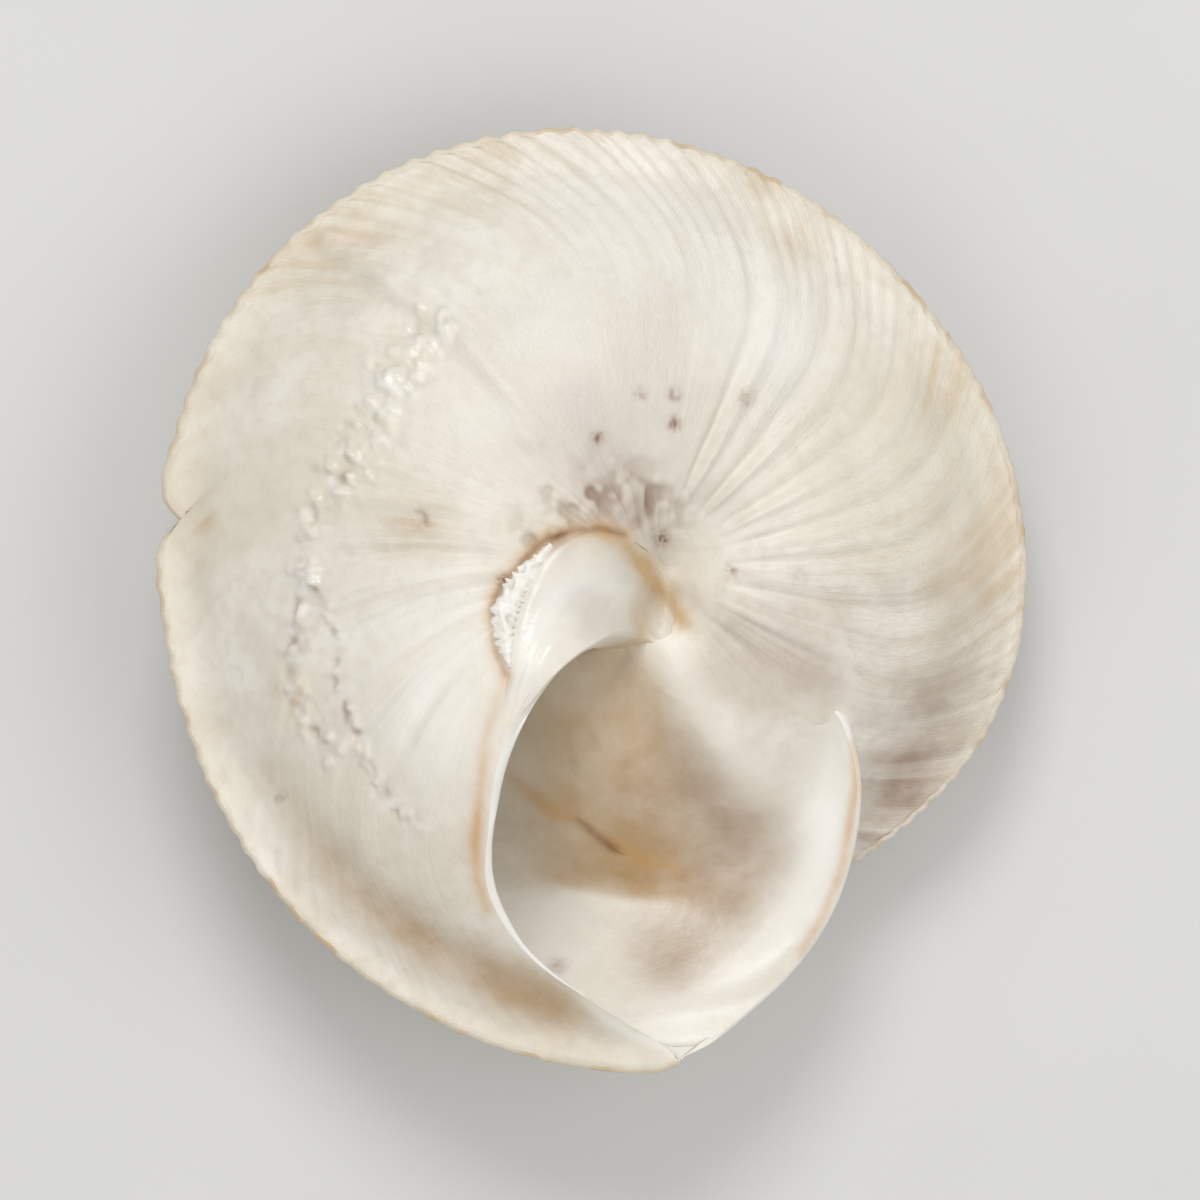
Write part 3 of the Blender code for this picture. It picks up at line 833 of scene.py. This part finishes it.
def crust_points():
    """The rough white crust that fills the groove between the base and the pad's left side."""
    table = [(*spot, width, rise) for spot, width, rise in zip(CRUST_PATH, CRUST_WIDTHS, CRUST_RISES)]
    fine, (pixel_x, pixel_y, width, rise) = spline_columns(table, CRUST_ROWS)
    path = np.concatenate(at_pixel(pixel_x, pixel_y), axis=1)
    along = unit(np.gradient(path, axis=0))
    across = np.linspace(-1, 1, CRUST_COLUMNS)[None, :]
    ragged = width * across * (1 + 0.35 * wander(fine * 7, 3 + across))
    x = path[:, :1] - along[:, 1:] * ragged
    y = path[:, 1:] + along[:, :1] * ragged
    dome = np.sqrt(1 - across**2)
    lumps = 0.6 - 1.6 * np.abs(grain(x * 4.0, y * 4.0)) + 0.35 * wander(x * 9, y * 9)
    slits = ease(0.25, 0.6, grain(x * 4.1 + 30, y * 3.6)) * dome**4
    swelling = CRUST_DEPTH + rise + 0.07 * lumps - 0.06 * slits
    height = base_at(x, y) - CRUST_DEPTH + dome * swelling
    return np.stack([x, y, height], -1), slits * dome


# Sheets and meshes

Sheet = namedtuple("Sheet", "name points row share dirt lined closed flipped")
# Beats of the striae to a degree of growth angle and to the width of a whorl
ROW_SCALE, SHARE_SCALE = 0.35, 4


def grid_faces(rows, columns, offset, closed, flipped):
    """Quads of a grid of points, joined round when closed."""
    last = columns if closed else columns - 1
    i, j = np.meshgrid(np.arange(rows - 1), np.arange(last), indexing="ij")
    i, j = i.ravel(), j.ravel()
    after = (j + 1) % columns
    corners = (i * columns + j, i * columns + after, (i + 1) * columns + after, (i + 1) * columns + j)
    return offset + np.stack(corners[::-1] if flipped else corners, -1)


def plain_sheet(name, points, dirt=None, row=None, closed=False, flipped=False):
    nothing = np.zeros(points.shape[:-1])
    row = nothing if row is None else row + nothing
    dirt = nothing if dirt is None else dirt
    return Sheet(name, points, row, nothing, dirt, nothing, closed, flipped)


def shell_sheets():
    """The sheets of every piece."""
    rows = outside_rows()
    outside = relieved_outside(rows)
    rim = UPPER_COLUMNS + BEAD_COLUMNS - 1
    based = rows[:, 0] >= BASE_START - 0.01
    front = rows[:, 0] >= BASE_PARTING
    parting = int(np.argmax(front))
    back = based & ~front
    back[parting] = True

    def part_of_outside(name, chosen_rows, chosen_columns):
        points, share, row, dirt, lined = (found[chosen_rows][:, chosen_columns] for found in outside)
        return Sheet(name, points, row, share, dirt, lined, False, False)

    inside_rows, inside = inside_points()
    crust, slits = crust_points()
    return {
        "shell_spire": [
            part_of_outside("spire", slice(None), slice(None, rim + 1)),
            plain_sheet("flat", flat_points(), closed=True, flipped=True),
        ],
        "shell_base_back": [part_of_outside("base", back, slice(rim, None))],
        "shell_base_front": [part_of_outside("base", front, slice(rim, None))],
        "shell_mouth": [
            plain_sheet("inside", inside, row=inside_rows[:, None], closed=True),
            plain_sheet("inside", callus_points(), flipped=True),
            plain_sheet("rim", rim_points(outside[0])),
            plain_sheet("pad", pad_points()),
            plain_sheet("crust", crust, dirt=slits),
        ],
    }


# Stains, painted shade and painted highlights in pixels of the photograph: place, spread and strength
BROWN_SPOTS = (
    (661, 540, 8, 1.0), (745, 400, 8, 0.8), (730, 570, 7, 0.6), (800, 575, 8, 0.5),
    (598, 441, 7, 0.7), (640, 396, 7, 0.7), (673, 397, 7, 0.8), (673, 426, 7, 0.8),
    (425, 520, 10, 0.5), (279, 799, 4, 1.0), (557, 967, 8, 0.5), (172, 520, 6, 0.6),
    (594, 740, 5, 0.35), (575, 767, 5, 0.35), (505, 580, 8, 0.7),
)
TAN_SPOTS = (
    (480, 160, 40, 0.35), (370, 215, 45, 0.32), (310, 240, 40, 0.25), (812, 235, 30, 0.6),
    (770, 170, 30, 0.3), (1015, 445, 26, 0.6), (205, 520, 14, 0.4), (990, 560, 60, 0.4),
    (425, 520, 34, 0.35), (300, 700, 24, 0.3), (425, 640, 90, 0.16), (940, 380, 40, 0.35),
    (560, 530, 22, 0.4),
)
# Purplish grey with painted shade: under the right side of the lip, where the base slopes away, and on
# the umbilical slope
PURPLE_AND_SHADE_SPOTS = (
    (905, 800, 52, 0.70), (880, 838, 40, 0.65), (925, 755, 50, 0.45), (960, 700, 50, 0.30),
    (600, 505, 46, 0.35), (645, 510, 26, 0.4),
)
# Grey in the middle of the base, and painted shade on slopes of the base and of the wall in the mouth
# that face away from the light
GREY_AND_SHADE_SPOTS = (
    (790, 640, 66, 0.62), (735, 690, 50, 0.26), (600, 440, 100, 0.24), (640, 320, 110, 0.16),
    (955, 610, 70, 0.24), (900, 700, 60, 0.26), (430, 560, 70, 0.10),
)
# Whiter patches of shell, and painted highlights on its glossy wrinkles
WHITE_AND_HIGHLIGHT_SPOTS = (
    (430, 620, 60, 0.5), (500, 430, 90, 0.3), (560, 300, 90, 0.45), (790, 330, 60, 0.6),
    (440, 740, 66, 0.9), (452, 660, 50, 0.6), (640, 200, 70, 0.4), (620, 400, 110, 0.5),
    (740, 300, 100, 0.3),
)
# Lines that stains, painted shade and painted highlights follow or end at, in pixels
# The groove round the pad: brown stain, with painted shade where the base steps down to the pad
GROOVE_LINE = (
    (507, 672), (498, 650), (493, 622), (496, 600), (506, 582), (524, 562), (546, 541), (571, 533),
    (600, 529), (624, 535),
)
PAD_MARGIN = ((600, 531), (628, 548), (644, 568), (660, 588), (673, 606), (683, 624))
# A painted highlight along the crown of the pad
PAD_HIGHLIGHT = ((520, 690), (532, 640), (552, 602), (585, 588), (612, 580))
LIP_SEAM = ((508, 678), (496, 705), (489, 732), (481, 794), (477, 840), (478, 870), (488, 905))
STAIN_LINE = ((514, 782), (548, 809), (582, 823), (606, 840), (643, 862), (680, 872))
STAIN_STREAK = ((582, 823), (599, 838), (616, 851))
PALATAL_EDGE = ((853, 742), (856, 787), (842, 870), (822, 919), (802, 953))
RIDGE_SHADE = ((648, 655), (662, 710), (690, 765), (725, 815), (760, 862))
# Painted shade, brown, in the crease at the foot of the inner wall
WALL_FOOT_SHADE = ((470, 868), (530, 878), (600, 882), (655, 890), (715, 880), (765, 858))
FLOOR_EDGE = ((440, 882), (520, 888), (582, 893), (655, 905), (720, 915), (800, 925))
# Painted shade, tan and grey, in the valley of the floor beside the palatal band
VALLEY_SHADE = ((752, 832), (730, 880), (703, 925), (672, 958))
PALATAL_BAND = ((845, 745), (834, 810), (808, 875), (772, 930), (725, 975), (680, 1005))


# Lines of stains, painted shade and painted highlights: colour, line, width and strength
BASE_LINES = (
    # White on the band inside the keel is a painted highlight where the band faces the light; brown
    # along the groove is brown stain with painted shade
    ("white", RIM_BAND, 0.4, 0.45), ("brown", GROOVE_LINE, 0.09, 0.55),
    ("orange", GROOVE_LINE, 0.22, 0.5), ("tan", PAD_MARGIN, 0.22, 0.9),
)
# White along the wall's ridge is white glaze with a painted highlight
WALL_LINES = (("white", PARIETAL_RIDGE, 0.7, 0.5), ("gloss", PARIETAL_RIDGE, 1.2, 0.7))
# Inside the mouth: painted shade, brown, beside the wall's ridge and in the crease at its foot, and tan
# and grey in the floor's valley; white glaze with a painted highlight along the ridge
INSIDE_LINES = (
    ("orange", STAIN_LINE, 0.14, 0.4), ("orange", STAIN_LINE, 0.4, 0.16),
    ("brown", STAIN_STREAK, 0.11, 0.9), ("brown", RIDGE_SHADE, 0.6, 0.16),
    ("brown", WALL_FOOT_SHADE, 0.35, 0.16), ("white", PARIETAL_RIDGE, 0.7, 0.5),
    ("white", PALATAL_BAND, 0.8, 0.8), ("tan", VALLEY_SHADE, 0.95, 0.46), ("purple", VALLEY_SHADE, 1.0, 0.60),
    ("orange", PALATAL_EDGE, 0.12, 0.5), ("gloss", WALL_FOOT_SHADE, 0.7, -0.5),
    ("gloss", PALATAL_BAND, 1.3, -0.6),
)
# On the pad the white streak is a painted highlight, and brown along the groove is brown stain with
# painted shade
PAD_LINES = (
    ("tan", PAD_MARGIN, 0.26, 0.95), ("orange", GROOVE_LINE, 0.20, 0.55),
    ("orange", LIP_SEAM, 0.14, 0.5), ("brown", GROOVE_LINE, 0.09, 0.7),
    ("white", PAD_HIGHLIGHT, 0.32, 0.8),
)
SPIRE_LINES = (("orange", PALATAL_EDGE, 0.14, 0.5),)
RIM_LINES = (("orange", PALATAL_EDGE, 0.14, 0.4),)
# Stain and gloss all over a sheet
EVEN_STAINS = {
    "flat": {"tan": 0.3}, "inside": {"gloss": 0.6}, "crust": {"white": 1.0},
    "pad": {"purple": 0.14, "white": 0.35, "gloss": 0.8}, "rim": {"white": 0.9, "gloss": 0.6},
}


def spots(points, found):
    return sum(strength * near_pixel(points, x, y, spread * PIXEL) for x, y, spread, strength in found)


def paint_lines(paint, points, lines, shown=1.0):
    for colour, line, width, strength in lines:
        paint[colour] += strength * near_line(points, line, width) * shown


def stains_and_painted_light_on_base(sheet, paint, rim_line):
    """The base: stains, dirt, the tan keel, painted shade in the groove inside the keel and on slopes
    facing away from the light, painted highlights, and the seam and white edge of the lip.
    """
    points = sheet.points
    x, y = points[..., 0], points[..., 1]
    facing = (sheet.share > 0) & (np.hypot(x, y) > 0.2)
    streaked = 0.25 + 0.9 * ease(-0.35, 0.6, wander(sheet.row * 0.5, sheet.share * 2))
    uneven = 0.3 + 1.1 * np.abs(wander(x * 9, y * 9))
    # Painted shade, tan and grey, along the groove inside the lower left keel, where the base slopes
    # away from the light
    shaded = near_line(points, RIM_GROOVE, 0.62) * rightward(points, 230, 420)
    keel_tan = (0.10 + 0.02 * ease(-2.0, -7.0, x)) * ease(0.80, 0.97, sheet.share)
    seam = near_line(points, LIP_SEAM, 0.13) + 0.40 * near_line(points, LIP_SEAM, 0.5)
    # Purple and grey tint, with painted shade on slopes that face away from the light
    purple = spots(points, PURPLE_AND_SHADE_SPOTS) * (0.45 + 0.55 * streaked) + spots(points, GREY_AND_SHADE_SPOTS)
    # Whiter patches with painted highlights, and the white edge of the lip
    white = spots(points, WHITE_AND_HIGHLIGHT_SPOTS) + 0.9 * bell(distance_to_path(points, rim_line), 0.16)
    paint["brown"] += (spots(points, BROWN_SPOTS) * uneven + 0.85 * sheet.dirt) * facing
    paint["tan"] += (spots(points, TAN_SPOTS) * streaked + 0.80 * shaded + keel_tan) * facing
    paint["purple"] += (purple + 0.36 * shaded) * facing
    paint["white"] += white * facing
    paint["orange"] += (0.26 + 0.20 * downward(points, 690, 800)) * seam * facing
    paint_lines(paint, points, BASE_LINES, facing)
    pustular = near_line(points, PUSTULAR_LINE, 0.6)
    pustular = pustular + sum(near_line(points, line, 0.3) for line in GRANULAR_LINES)
    paint["white"] += 0.9 * np.maximum(0, grain(x * 4.4, y * 4.4)) * pustular
    paint["gloss"] += np.minimum(1, pustular + near_line(points, GLOSSY_WRINKLES, 1.4))
    in_mouth = sheet.row < NEAR_MOUTH
    stains_and_painted_shade_on_wall(points, paint, in_mouth * ease(*WALL_HEIGHTS, points[..., 2]))
    paint_lines(paint, points, WALL_LINES, in_mouth)


def stain_spire(sheet, paint):
    share = sheet.share + 1
    streaks = ease(0.1, 0.6, wander(sheet.row * 0.5, share * 2))
    paint["tan"] += 0.35 * streaks + 0.30 * ease(0.85, 1.0, share)
    paint_lines(paint, sheet.points, SPIRE_LINES)


def above_floor(points):
    """Distance up the photograph from the line where the wall's stain meets the floor."""
    return points[..., 1] - np.interp(points[..., 0], *at_pixel(*np.transpose(FLOOR_EDGE)))


def right_of_ridge(points):
    """Distance to the right of the straight line between the ends of the wall's ridge."""
    start, end = at_pixel(*PARIETAL_RIDGE[0]), at_pixel(*PARIETAL_RIDGE[-1])
    along = unit(end - start)
    gap = points[..., :2] - start
    return gap[..., 1] * along[0] - gap[..., 0] * along[1]


def stains_and_painted_shade_on_wall(points, paint, shown):
    """Tan stains over the wall left of its ridge, and painted shade, grey, in the middle."""
    stained = ease(-0.15, 0.30, above_floor(points))
    stained = stained * ease(0.2, -1.3, right_of_ridge(points))
    stained = stained * rightward(points, 785, 690) * shown
    # Painted shade, grey, in the middle of the wall
    grey_shade = near_pixel(points, 668, 780, 1.8)
    middle = bell(points[..., 0] - at_pixel(625, 0)[0], 1.9)
    paint["tan"] += (0.12 + 0.95 * middle) * (1 - 0.30 * downward(points, 740, 640)) * stained
    paint["purple"] += (0.16 * middle + 0.46 * grey_shade) * stained


def stains_and_painted_light_inside(sheet, paint):
    points = sheet.points
    stains_and_painted_shade_on_wall(points, paint, 1.0)
    paint_lines(paint, points, INSIDE_LINES)
    # Painted light: white on the floor of the mouth, where it faces the light
    lit_floor = ease(0.10, -0.40, above_floor(points)) * rightward(points, 760, 660)
    paint["white"] += 0.5 * lit_floor
    paint["brown"] += spots(points, BROWN_SPOTS)
    paint["purple"] += spots(points, GREY_AND_SHADE_SPOTS)


def stains_and_painted_light_on_pad(sheet, paint):
    """The pad: tan along its margin, purple on top, a painted highlight streaked white and painted
    shade, tan, low in the mouth.
    """
    x, y, z = np.moveaxis(sheet.points, -1, 0)
    paint_lines(paint, sheet.points, PAD_LINES)
    paint["purple"] += 0.22 * wander(x * 1.5, y * 1.5)
    # Painted shade, tan, where the pad goes down into the mouth
    paint["tan"] += 0.7 * ease(7.0, 5.8, z) * ease(0.4, -0.3, x)


def stains(sheet, rim_line):
    """Two triples for each point: tan, orange and brown, then purple, white and gloss.
    Beside stains they hold painted shade, in tan, brown and purple, and painted highlights, in white.
    """
    names = ("tan", "orange", "brown", "purple", "white", "gloss")
    paint = {name: np.zeros(sheet.points.shape[:-1]) for name in names}
    for colour, strength in EVEN_STAINS.get(sheet.name, {}).items():
        paint[colour] += strength
    if sheet.name == "base":
        stains_and_painted_light_on_base(sheet, paint, rim_line)
    if sheet.name == "spire":
        stain_spire(sheet, paint)
    if sheet.name == "inside":
        stains_and_painted_light_inside(sheet, paint)
    if sheet.name == "pad":
        stains_and_painted_light_on_pad(sheet, paint)
    if sheet.name == "crust":
        paint["brown"] += 0.45 * sheet.dirt
    if sheet.name == "rim":
        paint_lines(paint, sheet.points, RIM_LINES)
    values = [paint[name] for name in names]
    return np.stack(values[:3], -1), np.stack(values[3:], -1)


def make_piece(name, sheets, rim_line, material):
    """One mesh of several sheets, with their growth lines, stains, painted shade and painted highlights
    as attributes.
    """
    vertices, faces, attributes = [], [], []
    offset = 0
    for sheet in sheets:
        faces.append(grid_faces(*sheet.points.shape[:2], offset, sheet.closed, sheet.flipped))
        vertices.append(sheet.points.reshape(-1, 3))
        growth = np.stack([sheet.row * ROW_SCALE, sheet.share * SHARE_SCALE, sheet.lined], -1)
        found = (growth, *stains(sheet, rim_line))
        attributes.append([values.reshape(-1, 3) for values in found])
        offset += len(vertices[-1])
    mesh = bpy.data.meshes.new(name)
    mesh.from_pydata((np.concatenate(vertices) * MM).tolist(), [], np.concatenate(faces).tolist())
    for key, values in zip(("growth", "stain_and_shade", "tint"), zip(*attributes)):
        attribute = mesh.attributes.new(key, "FLOAT_VECTOR", "POINT")
        attribute.data.foreach_set("vector", np.concatenate(values).astype(np.float32).ravel())
    mesh.shade_smooth()
    mesh.materials.append(material)
    piece = bpy.data.objects.new(name, mesh)
    bpy.context.scene.collection.objects.link(piece)
    return piece


def make_shell(material):
    pieces = shell_sheets()
    rim = next(sheet for sheet in pieces["shell_mouth"] if sheet.name == "rim")
    crest = rim.points[RIM_TURNS // 2]
    return [make_piece(name, sheets, crest, material) for name, sheets in pieces.items()]


# Materials


def srgb(red, green, blue):
    """A colour given as it looks on screen, 0 to 255, in the linear values that shaders take."""
    share = np.array([red, green, blue]) / 255
    linear = np.where(share <= 0.04045, share / 12.92, ((share + 0.055) / 1.055) ** 2.4)
    return (*linear, 1.0)


CREAM, PALE_CREAM = srgb(226, 219, 204), srgb(239, 235, 226)
BLOTCH_SHADE, BAND_SHADE = srgb(216, 209, 195), srgb(218, 207, 185)
STRIA_SHADE, GRAIN_SHADE = srgb(206, 195, 173), srgb(212, 203, 188)
# White also makes painted highlights, and tan, purple and brown painted shade
WHITE, TAN, PURPLE = srgb(243, 241, 235), srgb(199, 168, 119), srgb(168, 148, 132)
ORANGE, BROWN = srgb(206, 158, 92), srgb(126, 86, 56)
FLOOR_SHADES = (srgb(214, 214, 214), srgb(218, 218, 217))


class Nodes:
    """A short hand for adding a material's nodes and links."""

    def __init__(self, name):
        self.material = bpy.data.materials.new(name)
        self.material.use_nodes = True
        self.tree = self.material.node_tree
        self.surface = self.tree.nodes["Principled BSDF"]

    def add(self, kind, settings=None, **inputs):
        node = self.tree.nodes.new(kind)
        for key, value in (settings or {}).items():
            setattr(node, key, value)
        for key, value in inputs.items():
            self.set(node, key.replace("_", " "), value)
        return node

    def set(self, node, key, value):
        """Gives an input a fixed value or links it to another node's output."""
        if isinstance(value, bpy.types.NodeSocket):
            self.tree.links.new(value, node.inputs[key])
        else:
            node.inputs[key].default_value = value

    def mix(self, amount, first, second):
        node = self.add("ShaderNodeMix", {"data_type": "RGBA"})
        for socket, value in ((0, amount), (6, first), (7, second)):
            self.set(node, socket, value)
        return node.outputs[2]

    def maths(self, operation, first, second):
        node = self.add("ShaderNodeMath", {"operation": operation})
        self.set(node, 0, first)
        self.set(node, 1, second)
        return node.outputs[0]

    def span(self, value, low, high, to_low=0.0, to_high=1.0):
        return self.add(
            "ShaderNodeMapRange", {"interpolation_type": "SMOOTHSTEP"},
            Value=value, From_Min=low, From_Max=high, To_Min=to_low, To_Max=to_high,
        ).outputs[0]

    def cloud(self, vector, scale, detail=2.0, roughness=0.5):
        return self.add(
            "ShaderNodeTexNoise", Vector=vector, Scale=scale, Detail=detail, Roughness=roughness
        ).outputs[0]


def make_shell_material():
    """Satin cream shell with striae along its growth lines, and stains, painted shade and painted
    highlights where attributes put them.
    """
    nodes = Nodes("shell_cream")

    def attribute(name):
        return nodes.add("ShaderNodeAttribute", {"attribute_name": name}).outputs["Vector"]

    def parts(vector):
        return nodes.add("ShaderNodeSeparateXYZ", Vector=vector).outputs

    def product(first, second):
        return nodes.maths("MULTIPLY", first, second)

    position = nodes.add("ShaderNodeTexCoord").outputs["Object"]
    growth = attribute("growth")
    lined = parts(growth)["Z"]
    stain_and_shade = parts(attribute("stain_and_shade"))
    tint = parts(attribute("tint"))
    broad = nodes.cloud(position, 170.0, 4.0, 0.55)
    blotch = nodes.cloud(position, 520.0, 5.0, 0.55)
    fine = nodes.cloud(position, 2600.0, 6.0, 0.55)
    striae = nodes.cloud(growth, 9.0, 3.0, 0.55)
    bands = nodes.cloud(growth, 1.1, 4.0, 0.55)
    colour = nodes.mix(nodes.span(broad, 0.36, 0.64), CREAM, PALE_CREAM)
    for amount, shade in (
        (nodes.span(blotch, 0.48, 0.68, 0.0, 0.55), BLOTCH_SHADE),
        (product(nodes.span(bands, 0.45, 0.72, 0.0, 0.6), lined), BAND_SHADE),
        (product(nodes.span(striae, 0.52, 0.78, 0.0, 0.28), lined), STRIA_SHADE),
        (nodes.span(fine, 0.46, 0.66, 0.0, 0.30), GRAIN_SHADE),
    ):
        colour = nodes.mix(amount, colour, shade)
    breakup = nodes.span(blotch, 0.3, 0.7, 0.55, 1.2)
    # Stains, painted shade in tan, purple and brown, and painted highlights in white
    for amount, shade in (
        (tint["Y"], WHITE), (stain_and_shade["X"], TAN), (tint["X"], PURPLE), (stain_and_shade["Y"], ORANGE),
        (stain_and_shade["Z"], BROWN),
    ):
        colour = nodes.mix(nodes.maths("MINIMUM", product(amount, breakup), 1.0), colour, shade)
    nodes.set(nodes.surface, "Base Color", colour)
    rough = nodes.span(broad, 0.35, 0.65, 0.46, 0.34)
    nodes.set(nodes.surface, "Roughness", nodes.maths("SUBTRACT", rough, product(tint["Z"], 0.16)))
    grains = nodes.maths("ADD", product(fine, 0.6), product(blotch, 1.2))
    relief = nodes.maths("ADD", product(product(striae, lined), 0.9), grains)
    bump = nodes.add("ShaderNodeBump", Strength=0.65, Distance=0.00005, Height=relief)
    nodes.set(nodes.surface, "Normal", bump.outputs[0])
    return nodes.material


def make_floor_material():
    nodes = Nodes("floor_pale")
    speckle = nodes.cloud(nodes.add("ShaderNodeTexCoord").outputs["Object"], 60.0)
    nodes.set(nodes.surface, "Base Color", nodes.mix(nodes.span(speckle, 0.3, 0.7), *FLOOR_SHADES))
    nodes.set(nodes.surface, "Roughness", 0.9)
    return nodes.material


# Stage

LENS = 300.0
SENSOR = 36.0
MIDDLE_HEIGHT = 0.0045
FLOOR_WIDTH = 1.2
# Round area lights: name, place, size and power
SOFTBOXES = (
    ("key", (-0.02, 0.14, 0.19), 0.10, 0.205),
    ("fill_left", (-0.06, -0.12, 0.20), 0.18, 0.075),
    ("fill_right", (0.12, -0.02, 0.18), 0.16, 0.10),
)
SKY_COLOUR = (1.0, 0.985, 0.95, 1.0)
SKY_STRENGTH = 0.505


def make_floor():
    bpy.ops.mesh.primitive_plane_add(size=FLOOR_WIDTH)
    floor = bpy.context.object
    floor.name = "floor"
    floor.data.materials.append(make_floor_material())


def make_camera():
    """A long lens straight over the shell, framed as the photograph is."""
    centre = at_pixel(PHOTO_SIZE / 2, PHOTO_SIZE / 2) * MM
    width = PHOTO_SIZE * PIXEL * MM
    lens = bpy.data.cameras.new("camera")
    lens.lens = LENS
    lens.sensor_width = SENSOR
    lens.clip_start = 0.01
    camera = bpy.data.objects.new("camera", lens)
    camera.location = (*centre, MIDDLE_HEIGHT + width * LENS / SENSOR)
    bpy.context.scene.collection.objects.link(camera)
    bpy.context.scene.camera = camera


def add_softbox(name, location, size, power):
    """A round area light that faces the middle of the shell."""
    light = bpy.data.lights.new(name, "AREA")
    light.shape = "DISK"
    light.size = size
    light.energy = power
    softbox = bpy.data.objects.new(name, light)
    softbox.location = location
    aim = Vector((0, 0, MIDDLE_HEIGHT)) - Vector(location)
    softbox.rotation_euler = aim.to_track_quat("-Z", "Y").to_euler()
    bpy.context.scene.collection.objects.link(softbox)


def make_light():
    """Three soft lights and a warm white sky, shown without a film curve."""
    for softbox in SOFTBOXES:
        add_softbox(*softbox)
    world = bpy.data.worlds.new("studio")
    bpy.context.scene.world = world
    world.use_nodes = True
    sky = world.node_tree.nodes["Background"]
    sky.inputs["Color"].default_value = SKY_COLOUR
    sky.inputs["Strength"].default_value = SKY_STRENGTH
    bpy.context.scene.view_settings.view_transform = "Standard"


make_floor()
make_camera()
make_light()
for piece in make_shell(make_shell_material()):
    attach(piece, "root")
    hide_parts("shell")
